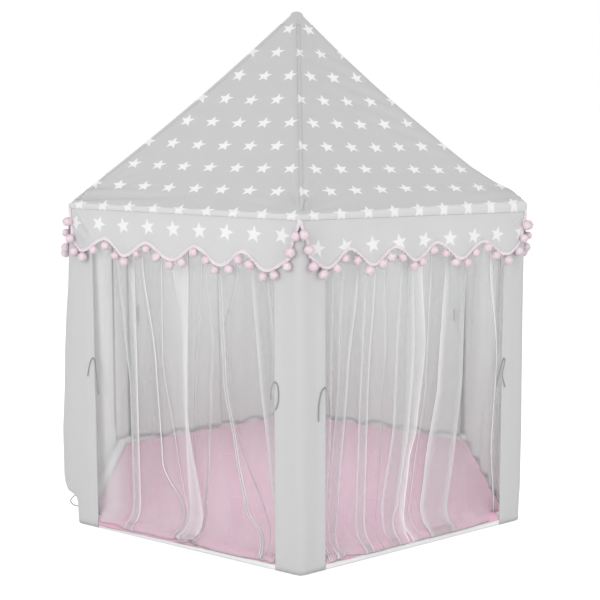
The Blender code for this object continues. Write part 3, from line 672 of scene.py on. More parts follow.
def canopy_point(face, share, row, proud=0.0):
    """A point of a gore's inner surface with its sag and corner wrinkles, or of one proud of it."""
    ends = []
    for k in (face, face + 1):
        ends.append(ring_point(k, *canopy_rings[k % SIDES][row]))
    point = ends[0].lerp(ends[1], share)
    width = (ends[1] - ends[0]).length
    climb = min(max((row - EAVE_ROW) / GORE_ROWS, 0.0), 1.0)
    outward = (face_axes(face)[2] * math.sin(RIDGE_PITCH) + UP * math.cos(RIDGE_PITCH)).normalized()
    depth = -GORE_SAG * 4 * share * (1 - share) * math.sin(math.pi * climb)
    rise = max(canopy_rise[row], 0.0)
    for end, (k, aside) in enumerate(((face, share * width), (face + 1, (1 - share) * width))):
        reach = math.hypot(aside, rise)
        if 0.001 < reach < 3 * WRINKLE_REACH:
            angle = math.atan2(rise, aside)
            start = ease(rise / 0.010) * ease(aside / 0.012)
            fade = math.exp(-(reach / WRINKLE_REACH) ** 2) * ease(reach / 0.05)
            depth += WRINKLE_DEPTH * fade * start * math.cos(2 * math.pi * angle / WRINKLE_ANGLE + k * 1.9)
            fade = math.exp(-(reach / PUCKER_REACH) ** 2) * ease(reach / 0.012)
            depth += PUCKER_DEPTH * fade * start * math.cos(2 * math.pi * angle / PUCKER_ANGLE + k * 0.7)
            fold, run = EAVE_FOLDS[face][end]
            lie = rise + 0.10 * aside * math.sin(k * 2.1) + 0.004 * waver(aside * 9, k, end)
            fade = math.exp(-(aside / run) ** 2) * ease(aside / 0.03) * ease(rise / 0.012)
            fade *= ease(2 - 2 * rise / FOLD_HEIGHT)
            depth -= fold * fade * math.cos(2 * math.pi * (lie - FOLD_START) / FOLD_SPACING)
        if (face, end) in RIDGE_FOLDS:
            fold, low, high, slant = RIDGE_FOLDS[face, end]
            span = math.sin(math.pi * min(max((rise - low) / (high - low), 0.0), 1.0))
            fade = span * ease(aside / 0.03) * math.exp(-(aside / RIDGE_FOLD_REACH) ** 2)
            depth += fold * fade * math.sin(2 * math.pi * (rise + slant * aside) / RIDGE_FOLD_SPACING + 1.3 * k)
    edge = min(ease(share * width / 0.03), ease((1 - share) * width / 0.03)) * ease(rise / 0.03)
    depth += CLOTH_WAVE * edge * noise.noise(point * 7.0)
    return point + outward * (depth + proud)


def print_row(rise):
    """The height on the print of a height on the cloth, whose rows of stars aren't quite evenly spaced."""
    for index, (low, high) in enumerate(zip(PRINT_ROWS, PRINT_ROWS[1:])):
        if rise < high or index == len(PRINT_ROWS) - 2:
            return PRINT_UP * (index + (rise - low) / (high - low))


def print_place(face, share, row):
    """A gore's cloth map at a share of its width and a row."""
    repeat, at_band, at_eave = GORE_PRINTS[face]
    rise = canopy_rise[row]
    middle = mix(at_band, at_eave, ease((rise + 0.005) / 0.030))
    aside = (share - 0.5) * 2 * canopy_rings[0][row][0] * math.sin(HALF_SECTOR)
    dip = PRINT_DIPS[face] * ease((share - 0.45) / 0.45) * ease(2 - rise / 0.12) * ease(rise / 0.03)
    return (aside - middle) * PRINT_ACROSS / repeat + face * GORE_REPEATS * PRINT_ACROSS, print_row(rise + dip)


def gore_panel(face):
    """A gore as a grid, with its cloth map measured across from its middle and up from the eave."""
    def place(u, v):
        return canopy_point(face, crowded(u), round(v * CANOPY_ROWS))

    def pattern(u, v):
        return print_place(face, crowded(u), round(v * CANOPY_ROWS))

    return GORE_COLUMNS, CANOPY_ROWS, place, pattern


def new_group(name, inputs, outputs):
    """An empty shader node group with its named inputs and outputs."""
    group = bpy.data.node_groups.new(name, "ShaderNodeTree")
    for key, value in inputs.items():
        kind = "Vector" if value is None else "Color" if hasattr(value, "__len__") else "Float"
        socket = group.interface.new_socket(key, in_out="INPUT", socket_type="NodeSocket" + kind)
        if value is not None:
            socket.default_value = value
    for key, kind in outputs.items():
        group.interface.new_socket(key, in_out="OUTPUT", socket_type=kind)
    return group, add_node(group, "NodeGroupInput").outputs


def use_group(tree, group, inputs):
    """Places a shader node group in a material with its own values."""
    return add_node(tree, "ShaderNodeGroup", inputs, node_tree=group).outputs


def vector_node(tree, operation, *values):
    """One vector sum as a node, and its result."""
    return add_node(tree, "ShaderNodeVectorMath", dict(enumerate(values)), operation=operation).outputs[0]


def scaled(tree, vector, amount):
    """A vector times a number or a value, and its result."""
    return add_node(tree, "ShaderNodeVectorMath", {0: vector, "Scale": amount}, operation="SCALE").outputs[0]


def products_sum(tree, a, b, c, d):
    """a times b and c times d, added up as nodes."""
    return math_node(tree, "ADD", math_node(tree, "MULTIPLY", a, b), math_node(tree, "MULTIPLY", c, d))


# The weave: over and under threads with uneven yarn and soft crumples; its colour is painted a little darker in the
# crumples' hollows and on sunken threads, as shade, and also varies with the yarn's slubs
weave, given = new_group(
    "plain weave",
    {"Map": None, "Place": None, "Colour": (0.6, 0.6, 0.6, 1), "Thread": 0.0011, "Crumple": 1.0, "Uneven": 0.05},
    {"Colour": "NodeSocketColor", "Height": "NodeSocketFloat", "Roughness": "NodeSocketFloat"})
axes = add_node(weave, "ShaderNodeSeparateXYZ", {0: given["Map"]})
turns = math_node(weave, "DIVIDE", 2 * math.pi, given["Thread"])
over = math_node(weave, "SINE", math_node(weave, "MULTIPLY", axes.outputs[0], turns))
under = math_node(weave, "SINE", math_node(weave, "MULTIPLY", axes.outputs[1], turns))
threads = math_node(weave, "MULTIPLY", over, under)
slubs = noise_node(weave, vector_node(weave, "MULTIPLY", given["Map"], (400.0, 60.0, 1.0)), 1.0, 2.0)
soft = noise_node(weave, given["Place"], 5.5, 5.0, Roughness=0.55, Distortion=0.6)
fine = noise_node(weave, given["Place"], 26.0, 3.0, Distortion=0.8)
crumple = math_node(weave, "ADD", math_node(weave, "MULTIPLY", soft, 6.0), fine)
height = products_sum(weave, crumple, given["Crumple"], threads, 0.03)
# Painted shade: the colour follows the crumples' noise, darker in their hollows, mixed with the slubs' real unevenness,
# and a touch lighter on raised threads
crumple_shade_and_slubs = products_sum(weave, soft, 0.6, slubs, 0.4)
change = math_node(weave, "MULTIPLY", math_node(weave, "SUBTRACT", crumple_shade_and_slubs, 0.5), given["Uneven"])
bright = math_node(weave, "ADD", 1.0, math_node(weave, "ADD", change, math_node(weave, "MULTIPLY", threads, 0.012)))
tinted = scaled(weave, given["Colour"], bright)
rough = math_node(weave, "ADD", 0.82, math_node(weave, "MULTIPLY", slubs, 0.12))
add_node(weave, "NodeGroupOutput", {"Colour": tinted, "Height": height, "Roughness": rough})

# The star print: one five-pointed star to a repeat, each a little turned and off its place
star_print, given = new_group(
    "star print", {"Map": None, "Across": 0.077, "Up": 0.089, "Radius": 0.021, "Notch": 0.0092, "Tilt": 0.3,
                   "Stray": 0.0015}, {"Mask": "NodeSocketFloat"})
repeat = add_node(star_print, "ShaderNodeCombineXYZ", {0: given["Across"], 1: given["Up"], 2: 1.0}).outputs[0]
shifted = vector_node(star_print, "ADD", given["Map"], vector_node(star_print, "MULTIPLY", repeat, (0.5, 0.5, 0.0)))
cells = vector_node(star_print, "DIVIDE", shifted, repeat)
cell = vector_node(star_print, "FLOOR", cells)
local = vector_node(star_print, "MULTIPLY", vector_node(star_print, "SUBTRACT",
                    vector_node(star_print, "SUBTRACT", cells, cell), (0.5, 0.5, 0.0)), repeat)
chance = add_node(star_print, "ShaderNodeTexWhiteNoise", {"Vector": cell}, noise_dimensions="3D")
any_way = vector_node(star_print, "SUBTRACT", chance.outputs["Color"], (0.5, 0.5, 0.5))
stray = scaled(star_print, any_way, given["Stray"])
turned = add_node(star_print, "ShaderNodeVectorRotate", {
    "Vector": vector_node(star_print, "ADD", local, stray), "Center": (0, 0, 0),
    "Angle": math_node(star_print, "MULTIPLY", math_node(star_print, "SUBTRACT", chance.outputs["Value"], 0.5),
                       given["Tilt"])}, rotation_type="Z_AXIS")
axes = add_node(star_print, "ShaderNodeSeparateXYZ", {0: turned.outputs[0]})
angle = math_node(star_print, "ARCTAN2", axes.outputs[0], axes.outputs[1])
reach = math_node(star_print, "SQRT", products_sum(star_print, axes.outputs[0], axes.outputs[0], axes.outputs[1],
                                                   axes.outputs[1]))
POINTS = 5
sector = 2 * math.pi / POINTS
folded = math_node(star_print, "ABSOLUTE", math_node(star_print, "SUBTRACT", math_node(
    star_print, "FLOORED_MODULO", math_node(star_print, "ADD", angle, sector / 2), sector), sector / 2))
ahead = math_node(star_print, "MULTIPLY", reach, math_node(star_print, "COSINE", folded))
aside = math_node(star_print, "MULTIPLY", reach, math_node(star_print, "SINE", folded))
notch_ahead = math_node(star_print, "MULTIPLY", given["Notch"], math.cos(sector / 2))
notch_aside = math_node(star_print, "MULTIPLY", given["Notch"], math.sin(sector / 2))
run = math_node(star_print, "SUBTRACT", given["Radius"], notch_ahead)
past_tip = math_node(star_print, "SUBTRACT", ahead, given["Radius"])
side = products_sum(star_print, past_tip, notch_aside, aside, run)
span = math_node(star_print, "SQRT", products_sum(star_print, notch_aside, notch_aside, run, run))
mask = add_node(star_print, "ShaderNodeMapRange", {0: math_node(star_print, "DIVIDE", side, span), 1: STAR_EDGE,
                                                   2: -STAR_EDGE, 3: 0.0, 4: 1.0}, interpolation_type="SMOOTHSTEP")
add_node(star_print, "NodeGroupOutput", {"Mask": mask.outputs[0]})


def cloth_finish(name, colour, crumple=1.0, uneven=0.05, relief=0.0009, stars=False, through=0.0, tilt=STAR_TILT):
    """Woven polyester in one colour, with the white star print where stars is set; through is the share of
    the light that goes on through the cloth."""
    finish, tree, shader = new_finish(name, 0.88, Sheen_Weight=0.12, Sheen_Roughness=0.5, Specular_IOR_Level=0.25)
    flat = add_node(tree, "ShaderNodeUVMap", uv_map="cloth map").outputs[0]
    place = own_place(tree)
    woven = use_group(tree, weave, {"Map": flat, "Place": place, "Colour": (*colour, 1), "Thread": CLOTH_THREAD,
                                    "Crumple": crumple, "Uneven": uneven})
    shade = woven["Colour"]
    if stars:
        mask = use_group(tree, star_print, {"Map": flat, "Across": PRINT_ACROSS, "Up": PRINT_UP, "Radius": STAR_RADIUS,
                                            "Notch": STAR_NOTCH, "Tilt": tilt, "Stray": STAR_STRAY})["Mask"]
        shade = blended(tree, mask, shade, STAR_WHITE)
    tree.links.new(woven["Roughness"], shader.inputs["Roughness"])
    normal = set_surface(tree, shader, shade, woven["Height"], 0.5, relief)
    if through:
        behind = add_node(tree, "ShaderNodeBsdfTranslucent", {"Color": shade, "Normal": normal})
        both = add_node(tree, "ShaderNodeMixShader", {0: through, 1: shader.outputs[0], 2: behind.outputs[0]})
        tree.links.new(both.outputs[0], tree.nodes["Material Output"].inputs["Surface"])
    return finish


CLOTH_THROUGH = 0.20
roof_finish = cloth_finish("roof cloth with stars", ROOF_GREY, stars=True, through=CLOTH_THROUGH)
canopy = sewn_piece("roof_canopy.cover", [gore_panel(face) for face in range(SIDES)], roof_finish, ROOF_CLOTH)
# The band is the same cloth, painted paler than the roof as if more brightly lit
canopy.data.materials.append(cloth_finish("band cloth with stars, painted lit paler", BAND_PAINTED_LIT_GREY, crumple=0.6, stars=True,
                                          through=CLOTH_THROUGH))
for quad in canopy.data.polygons:
    if quad.center.z < BAND_EDGE:
        quad.material_index = 1
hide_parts("roof_canopy")

# Along each ridge the seam's allowance is turned to the right-hand gore and stitched flat
SEAM_WIDTH = 0.0105
SEAM_CLOTH = 0.0008
SEAM_COLUMNS = 5
SEAM_STITCH_IN = 0.0016
BAND_STITCH_STEPS = 40
SEAM_ROWS = EAVE_ROW + GORE_ROWS - 2


def seam_share(face, across, row):
    """The share of a gore's width at this distance from its left ridge."""
    width = (canopy_rings[face][row][0] + canopy_rings[(face + 1) % SIDES][row][0]) * math.sin(HALF_SECTOR)
    return min(across / width, 0.5)


def seam_panel(face):
    """The doubled strip of cloth beside a ridge, from the seam above the band to near the tip."""
    def row_at(v):
        return EAVE_ROW + 1 + round(v * (SEAM_ROWS - EAVE_ROW - 1))

    def place(u, v):
        row = row_at(v)
        return canopy_point(face, seam_share(face, mix(-0.0006, SEAM_WIDTH, u), row), row,
                            ROOF_CLOTH * (0.9 if u == 1 else 1.15))

    def pattern(u, v):
        row = row_at(v)
        return print_place(face, seam_share(face, SEAM_WIDTH * u, row), row)

    return SEAM_COLUMNS, SEAM_ROWS - EAVE_ROW - 1, place, pattern


seams = sewn_piece("ridge_seams", [seam_panel(face) for face in range(SIDES)], roof_finish, SEAM_CLOTH)
# The stitching's lines on the outside of the cloth: beside the ridges, over the band and under it
stitch_lines = []
for face in range(SIDES):
    for across in (SEAM_STITCH_IN, SEAM_WIDTH - SEAM_STITCH_IN):
        stitch_lines.append([canopy_point(face, seam_share(face, across, row), row, ROOF_CLOTH + SEAM_CLOTH + 0.0003)
                             for row in range(EAVE_ROW + 1, SEAM_ROWS)])
    for row, share_in in ((1, 0.03), (EAVE_ROW + 1, 0.02)):
        stitch_lines.append([canopy_point(face, mix(share_in, 1 - share_in, step / BAND_STITCH_STEPS), row,
                                          ROOF_CLOTH + 0.0002) for step in range(BAND_STITCH_STEPS + 1)])


# The valance: one scalloped piece of the printed cloth to a face, its top edge caught under the
# band's hem. It hangs a little wavy, stands off at its lobes, and leaves a slit at each corner.
VALANCE_CLOTH = 0.0009
VALANCE_TUCK = 0.004
LOBES = 5
LOBE_LOW = BAND_LOW - 0.112
SCALLOP_DEPTH = 0.041
SLIT_HALF_WIDTH = 0.023
VALANCE_FLARE = 0.005
VALANCE_WAVE = 0.0030
VALANCE_COLUMNS = 130
VALANCE_ROWS = 24
# The valance's grey: the roof's printed cloth painted paler, as if more brightly lit
VALANCE_PAINTED_LIT_GREY = (0.755, 0.756, 0.758)
VALANCE_TILT = 0.75
# Creases from folding, by face: two ends as (across, height), and depth
VALANCE_CREASES = {
    FRONT_LEFT: (((0.004, 0.842), (0.062, 0.770), 0.0040), ((0.004, 0.800), (0.050, 0.752), 0.0040),
                 ((0.020, 0.770), (0.075, 0.775), 0.0022), ((0.150, 0.765), (0.190, 0.748), 0.0022)),
    FRONT_RIGHT: (((0.020, 0.780), (0.050, 0.745), 0.0022), ((0.610, 0.800), (0.655, 0.820), 0.0022)),
    RIGHT_SIDE: (((0.010, 0.835), (0.070, 0.770), 0.0024),), BACK_RIGHT: (((0.600, 0.770), (0.655, 0.835), 0.0024),),
    BACK_LEFT: (((0.010, 0.830), (0.065, 0.765), 0.0024),), LEFT_SIDE: (((0.600, 0.775), (0.655, 0.838), 0.0026),),
}
CUSP_ROUNDING = 0.85
WALL_OUT = 0.0175
# How far the slack cloth stands out between two posts at most, on each face, and at each height
FACE_SLACK = (0.0, 0.010, 0.0, 0.0, 0.0590, 0.0)
SLACK_HEIGHTS = ((0.0, 0.0), (0.064, 0.05), (0.082, 0.93), (0.110, 1.0), (0.240, 1.0), (0.350, 0.86), (0.460, 0.78),
                 (0.570, 0.63), (0.650, 0.47), (0.720, 0.38), (0.790, 0.20), (0.856, 0.0))
# Where the lobes are lowest and where they meet, in turn across each face; cut and pinned by hand, they vary
LOBE_STOPS = (
    (0.048, 0.115, 0.183, 0.250, 0.315, 0.382, 0.457, 0.534, 0.610),
    (0.070, 0.136, 0.201, 0.268, 0.334, 0.400, 0.466, 0.531, 0.598),
    (0.062, 0.130, 0.198, 0.262, 0.331, 0.402, 0.470, 0.537, 0.603),
    (0.066, 0.134, 0.205, 0.270, 0.336, 0.398, 0.463, 0.530, 0.601),
    (0.072, 0.139, 0.203, 0.266, 0.330, 0.397, 0.468, 0.536, 0.604),
    (0.034, 0.110, 0.174, 0.241, 0.328, 0.391, 0.471, 0.533, 0.598),
)
# How much higher than the rest some lobes and cusps are, in turn across the face, with the ends
HEM_LIFTS = {
    FRONT_LEFT: (0.0110, 0.0095, 0.0040, 0.0050, 0.0, 0.0050, 0.0, 0.0012, -0.0030, -0.0030, -0.0030),
    FRONT_RIGHT: (0.0035, 0.0040, 0.0040, 0.0020, 0.0, 0.0030, 0.0020, -0.0020, -0.0045, -0.0020, -0.0020),
}
# How far the ends of each valance stop from the corner
SLIT_ENDS = {(FRONT_LEFT, 0): 0.0075, (FRONT_RIGHT, 1): 0.0150}
# The print's repeat across each valance, where a column lies from its middle, and its row's height
VALANCE_PRINTS = ((0.0777, 0.0140, 0.7810), (0.0775, 0.030, 0.79), (0.0775, -0.010, 0.80), (0.0775, 0.02, 0.775),
                  (0.0775, 0.00, 0.80), (0.0774, -0.0135, 0.8110))


def slack(face, across, height):
    """How far the cloth stands out from the plane of its posts; it bellies most near the posts at the front."""
    if not FACE_SLACK[face]:
        return 0.0
    near = SIDE - across if face == LEFT_SIDE else across
    share = min(max(near / SIDE, 0.0), 1.0)
    for (low, least), (high, most) in zip(SLACK_HEIGHTS, SLACK_HEIGHTS[1:]):
        if height <= high:
            full = mix(least, most, (height - low) / (high - low))
            return FACE_SLACK[face] * full * math.sin(math.pi * math.sqrt(share))
    return 0.0


def across_ring(share, out):
    """The place across a face of a share of the ring's side at this offset."""
    return SIDE / 2 + (2 * share - 1) * mitre(APOTHEM + out)


def lobe_at(face, share):
    """1 at the lowest point of a lobe and 0 where two lobes meet."""
    stops = [-SLIT_HALF_WIDTH, *LOBE_STOPS[face], SIDE + SLIT_HALF_WIDTH]
    across = share * SIDE
    for index, (start, end) in enumerate(zip(stops, stops[1:])):
        if across <= end or index == len(stops) - 2:
            turn = (index + (across - start) / (end - start)) / 2
            swing = abs(math.sin(math.pi * turn))
            return mix(swing, swing * swing, CUSP_ROUNDING)


def hem_lift(face, share):
    """How much higher the hem is at a share of a face than its neighbours' even run."""
    lifts = HEM_LIFTS.get(face)
    if not lifts:
        return 0.0
    stops = [0.0, *LOBE_STOPS[face], SIDE]
    across = share * SIDE
    for (start, low), (end, high) in zip(zip(stops, lifts), zip(stops[1:], lifts[1:])):
        if across <= end:
            return mix(low, high, ease((across - start) / (end - start)))
    return lifts[-1]


def valance_spot(face, share, fall):
    """Place across, offset and height on a valance's inner surface; fall is 0 under the band and 1 at the hem."""
    start, end = (SLIT_ENDS.get((face, side), SLIT_HALF_WIDTH) - mitre(VALANCE_IN) for side in (0, 1))
    spread = mix(ease(fall * 1.15), min(fall * 1.2, 1.0), 0.5)
    across = mix(across_ring(share, VALANCE_IN), mix(start, SIDE - end, share), spread)
    lobe = lobe_at(face, share)
    top = mix(BAND_HEMS[face], BAND_HEMS[(face + 1) % SIDES], share)
    height = mix(top, LOBE_LOW + SCALLOP_DEPTH * (1 - lobe) + hem_lift(face, share), fall)
    drop = (top - height) / (BAND_LOW - LOBE_LOW)
    wave = math.sin(across * 31 + face * 2.3) * 0.6 + math.sin(across * 73 + face * 5.1) * 0.4
    wave += waver(across * 16, height * 11, face * 3.7)
    out = VALANCE_IN + VALANCE_FLARE * drop ** 1.5 * (0.55 + 0.45 * lobe) + VALANCE_WAVE * wave * ease(drop)
    for crease_start, crease_end, deep in VALANCE_CREASES.get(face, ()):
        spot, start, end = Vector((across, height)), Vector(crease_start), Vector(crease_end)
        run = min(max((spot - start).dot(end - start) / (end - start).length_squared, 0.0), 1.0)
        away = (spot - start.lerp(end, run)).length
        ridge, groove = math.exp(-((away - 0.004) / 0.005) ** 2), math.exp(-(away / 0.003) ** 2)
        out += deep * math.sin(math.pi * run) ** 0.7 * (ridge - groove)
    belly = slack(face, across, height)
    return across, max(out, VALANCE_IN - 0.0005, WALL_OUT + belly if belly else 0), height


def valance_panel(face):
    """A valance as a grid, with its cloth map measured from its middle and from its row of stars."""
    repeat, start, row_height = VALANCE_PRINTS[face]

    def place(u, v):
        if v > 1 - 0.5 / VALANCE_ROWS:
            top = mix(BAND_HEMS[face], BAND_HEMS[(face + 1) % SIDES], u)
            return on_face(face, across_ring(u, VALANCE_IN), VALANCE_IN, top + VALANCE_TUCK)
        across, out, height = valance_spot(face, u, 1 - v * VALANCE_ROWS / (VALANCE_ROWS - 1))
        return on_face(face, across, out, height)

    def pattern(u, v):
        across, out, height = valance_spot(face, u, max(1 - v * VALANCE_ROWS / (VALANCE_ROWS - 1), 0.0))
        return ((across - SIDE / 2 - start) * PRINT_ACROSS / repeat + (face + SIDES) * GORE_REPEATS * PRINT_ACROSS,
                height - row_height + PRINT_UP)

    return VALANCE_COLUMNS, VALANCE_ROWS, place, pattern


valance_finish = cloth_finish("valance cloth with stars, painted lit paler", VALANCE_PAINTED_LIT_GREY, crumple=1.5, stars=True, through=CLOTH_THROUGH,
                              tilt=VALANCE_TILT)
for face in range(SIDES):
    valance = sewn_piece(f"valance_{face + 1}", [valance_panel(face)], valance_finish, VALANCE_CLOTH)


# The pompom trim: a plaited pink braid sewn along the scallops and up the slits, with wound yarn
# balls on short threads. Where cloth hangs behind a ball it rests against it.
BRAID_WIDTH = 0.0090
BRAID_STRAND = 0.0017
BRAID_PLAIT = 0.013
BRAID_STEP = 0.0018
BALL_RADIUS = 0.0098
BALL_FUZZ = 0.0046
TUFT_LENGTH = 0.0036
TUFT_WIDTH = 0.0012
THREAD_RADIUS = 0.0008
THREAD_LENGTH = 0.007
POMPOM_COUNT = 24
POMPOM_SPREAD = 0.12
THREAD_BOW = 0.0006
# How far a strand swings to each side, in widths of the braid, and how far out and in, in strands
PLAIT_SWING = 0.34
PLAIT_LIFT = 0.7
STRIP_WIDTH = 0.070
BALL_STRAY = 0.003
TRIM_LIGHT = (1.0, 0.91, 0.955)
TRIM_DEEP = (0.99, 0.77, 0.86)
BRAID_LIGHT = (0.975, 0.93, 0.95)
BRAID_DEEP = (0.92, 0.81, 0.86)
chance = random.Random(7)


def hem_route(face, proud):
    """The line along a valance's slits and hem, proud of its inner surface."""
    rows, columns = 14, LOBES * 24
    route = [valance_spot(face, 0.0, row / rows) for row in range(rows)]
    route += [valance_spot(face, column / columns, 1.0) for column in range(columns + 1)]
    route += [valance_spot(face, 1.0, row / rows) for row in range(rows - 1, -1, -1)]
    return [on_face(face, across, out + proud, height) for across, out, height in route]


def along_route(route, distance):
    """The point at a distance along a list of points."""
    for start, end in zip(route, route[1:]):
        step = (end - start).length
        if distance <= step:
            return start.lerp(end, distance / step)
        distance -= step
    return route[-1]


def ball_rest(face, hang):
    """Where a ball's middle hangs: straight below its thread, or proud of cloth that lies behind it."""
    start, along, outward = face_axes(face)
    across = (hang - start).dot(along)
    backed = 1.0 if face == LEFT_SIDE else 1 - ease((min(across, SIDE - across) - STRIP_WIDTH) / (2 * BALL_RADIUS))
    lean = WALL_OUT + slack(face, across, hang.z - BALL_RADIUS) + BALL_RADIUS - (hang - start).dot(outward)
    stray = Vector((0, 0, 0)) if backed else Vector([chance.uniform(-BALL_STRAY, BALL_STRAY) for _ in range(3)])
    return hang + outward * max(lean, 0) * backed - UP * (THREAD_LENGTH + BALL_RADIUS) + stray


plait, given = new_pattern("plaited braid", Width=0.005, Strand=0.001, Plait=0.011, Step=0.0016, Material="")
route = add_node(plait, "GeometryNodeMeshToCurve", {"Mesh": given["Geometry"]})
even = add_node(plait, "GeometryNodeResampleCurve", {"Curve": route.outputs[0], "Length": given["Step"]}, mode="LENGTH")
level = add_node(plait, "GeometryNodeSetCurveNormal", {"Curve": even.outputs[0]}, mode="Z_UP")
run = add_node(plait, "GeometryNodeSplineParameter").outputs["Length"]
outward = add_node(plait, "GeometryNodeInputNormal").outputs[0]
ahead = add_node(plait, "GeometryNodeInputTangent").outputs[0]
sideways = vector_node(plait, "CROSS_PRODUCT", ahead, outward)
strands = add_node(plait, "GeometryNodeJoinGeometry")
ring = add_node(plait, "GeometryNodeCurvePrimitiveCircle", {"Radius": given["Strand"], "Resolution": 5})
for strand in range(3):
    turn = math_node(plait, "ADD", math_node(plait, "MULTIPLY", math_node(plait, "DIVIDE", run, given["Plait"]),
                                             2 * math.pi), 2 * math.pi * strand / 3)
    aside = scaled(plait, sideways, math_node(plait, "MULTIPLY", math_node(plait, "SINE", turn),
                                              math_node(plait, "MULTIPLY", given["Width"], PLAIT_SWING)))
    twice = math_node(plait, "SINE", math_node(plait, "MULTIPLY", turn, 2.0))
    lift = scaled(plait, outward, math_node(plait, "MULTIPLY", twice,
                                            math_node(plait, "MULTIPLY", given["Strand"], PLAIT_LIFT)))
    moved = add_node(plait, "GeometryNodeSetPosition", {"Geometry": level.outputs[0],
                                                        "Offset": vector_node(plait, "ADD", aside, lift)})
    swept = add_node(plait, "GeometryNodeCurveToMesh", {"Curve": moved.outputs[0], "Profile Curve": ring.outputs[0]})
    plait.links.new(swept.outputs[0], strands.inputs[0])
close_pattern(plait, strands.outputs[0], given["Material"])

balls, given = new_pattern("yarn balls", Radius=0.01, Fuzz=0.001, Tuft_length=0.003, Tuft_width=0.001, Seed=3,
                           Material="")
ball = add_node(balls, "GeometryNodeMeshIcoSphere", {"Radius": given["Radius"], "Subdivisions": 3})
place = add_node(balls, "GeometryNodeInputPosition").outputs[0]
tufts = noise_node(balls, place, 260.0, 1.0)
normal = add_node(balls, "GeometryNodeInputNormal").outputs[0]
push = scaled(balls, normal, math_node(balls, "MULTIPLY", math_node(balls, "SUBTRACT", tufts, 0.5), given["Fuzz"]))
fluffy = add_node(balls, "GeometryNodeSetPosition", {"Geometry": ball.outputs[0], "Offset": push})
tuft = add_node(balls, "GeometryNodeMeshCone", {"Vertices": 3, "Radius Top": 0.0, "Radius Bottom": given["Tuft width"],
                                                "Depth": given["Tuft length"]}, fill_type="NONE")
lean = add_node(balls, "FunctionNodeRandomValue", {"Min": (-0.6, -0.6, -0.6), "Max": (0.6, 0.6, 0.6),
                                                   "Seed": given["Seed"]}, data_type="FLOAT_VECTOR")
stand = add_node(balls, "FunctionNodeAlignRotationToVector", {"Vector": vector_node(balls, "ADD", normal,
                                                                                   lean.outputs["Value"])}, axis="Z")
fringe = add_node(balls, "GeometryNodeInstanceOnPoints", {"Points": fluffy.outputs[0], "Instance": tuft.outputs[0],
                                                          "Rotation": stand.outputs[0]})
fringed = add_node(balls, "GeometryNodeJoinGeometry", {0: fluffy.outputs[0]})
balls.links.new(add_node(balls, "GeometryNodeRealizeInstances", {"Geometry": fringe.outputs[0]}).outputs[0],
                fringed.inputs[0])
turn = add_node(balls, "FunctionNodeRandomValue", {"Min": (0, 0, 0), "Max": (6.28, 6.28, 6.28), "Seed": given["Seed"]},
                data_type="FLOAT_VECTOR")
grow_by = add_node(balls, "FunctionNodeRandomValue", {2: 0.90, 3: 1.06, "Seed": given["Seed"]}, data_type="FLOAT")
other_seed = math_node(balls, "ADD", given["Seed"], 5.0)
shade = add_node(balls, "FunctionNodeRandomValue", {2: 0.0, 3: 1.0, "Seed": other_seed}, data_type="FLOAT")
set_out = add_node(balls, "GeometryNodeInstanceOnPoints", {
    "Points": given["Geometry"], "Instance": fringed.outputs[0], "Rotation": turn.outputs["Value"],
    "Scale": grow_by.outputs[1]})
kept = add_node(balls, "GeometryNodeStoreNamedAttribute", {"Geometry": set_out.outputs[0], "Name": "ball shade",
                "Value": shade.outputs[1]}, data_type="FLOAT", domain="INSTANCE")
close_pattern(balls, kept.outputs[0], given["Material"])


def yarn_finish(name, light, deep, shade_name=None, grain=700.0):
    """Soft brushed yarn: short fibres in every direction and a pale sheen."""
    finish, tree, shader = new_finish(name, 0.95, Sheen_Weight=0.5, Sheen_Roughness=0.6, Specular_IOR_Level=0.1)
    place = own_place(tree)
    fibre = noise_node(tree, place, grain, 3.0, Distortion=1.5)
    tuft = add_node(tree, "ShaderNodeTexVoronoi", {"Vector": place, "Scale": grain / 2.6})
    amount = products_sum(tree, fibre, 0.6, tuft.outputs["Distance"], 0.4)
    if shade_name:
        own = add_node(tree, "ShaderNodeAttribute", attribute_name=shade_name).outputs["Fac"]
        amount = products_sum(tree, amount, 0.6, own, 0.4)
    set_surface(tree, shader, blended(tree, amount, light, deep), amount, 0.7, 0.0012)
    return finish


ball_finish = yarn_finish("pink yarn", TRIM_LIGHT, TRIM_DEEP, "ball shade")
braid_finish = yarn_finish("pale pink braid", BRAID_LIGHT, BRAID_DEEP, grain=1100.0)
braid_routes, thread_lines, ball_places = [], [], []
for face in range(SIDES):
    stretch = hem_route(face, VALANCE_CLOTH + BRAID_STRAND)
    braid_routes.append(stretch)
    for index in range(POMPOM_COUNT):
        stray = chance.uniform(-POMPOM_SPREAD, POMPOM_SPREAD)
        hang = along_route(stretch, route_length(stretch) * (index + 0.5 + stray) / POMPOM_COUNT)
        rest = ball_rest(face, hang)
        ball_places.append(rest)
        thread_lines.append([hang, hang.lerp(rest, 0.5) + UP * THREAD_BOW, rest])
braid = grow("braid", line_mesh("braid", braid_routes), plait, braid_finish, Width=BRAID_WIDTH, Strand=BRAID_STRAND,
             Plait=BRAID_PLAIT, Step=BRAID_STEP)
threads = grow("pompom_threads", line_mesh("threads", thread_lines), round_rod, braid_finish, Radius=THREAD_RADIUS,
               Sides=5)
ball_guide = bpy.data.meshes.new("ball places")
ball_guide.from_pydata([tuple(place) for place in ball_places], [], [])
pompoms = grow("pompoms", ball_guide, balls, ball_finish, Radius=BALL_RADIUS, Fuzz=BALL_FUZZ, Tuft_length=TUFT_LENGTH,
               Tuft_width=TUFT_WIDTH, Seed=3)
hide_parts("pompom_trim")


# The corner strips: bands of plain grey cloth that wrap each post from the eave to the floor, with
# a soft round at the corner and a stitched hem down each side.
STRIP_CLOTH = 0.0011
STRIP_IN = 0.0143
STRIP_LIFT = 0.0015
STRIP_TOP = EAVE_HEIGHT - 0.004
STRIP_ROUND = 0.016
STRIP_COLUMNS = 36
STRIP_ROWS = 64
STRIP_WAVE = 0.0013
HEM_WIDTH = 0.007
HEM_STITCH_STEPS = 60
STRIP_GREY = (0.725, 0.726, 0.727)


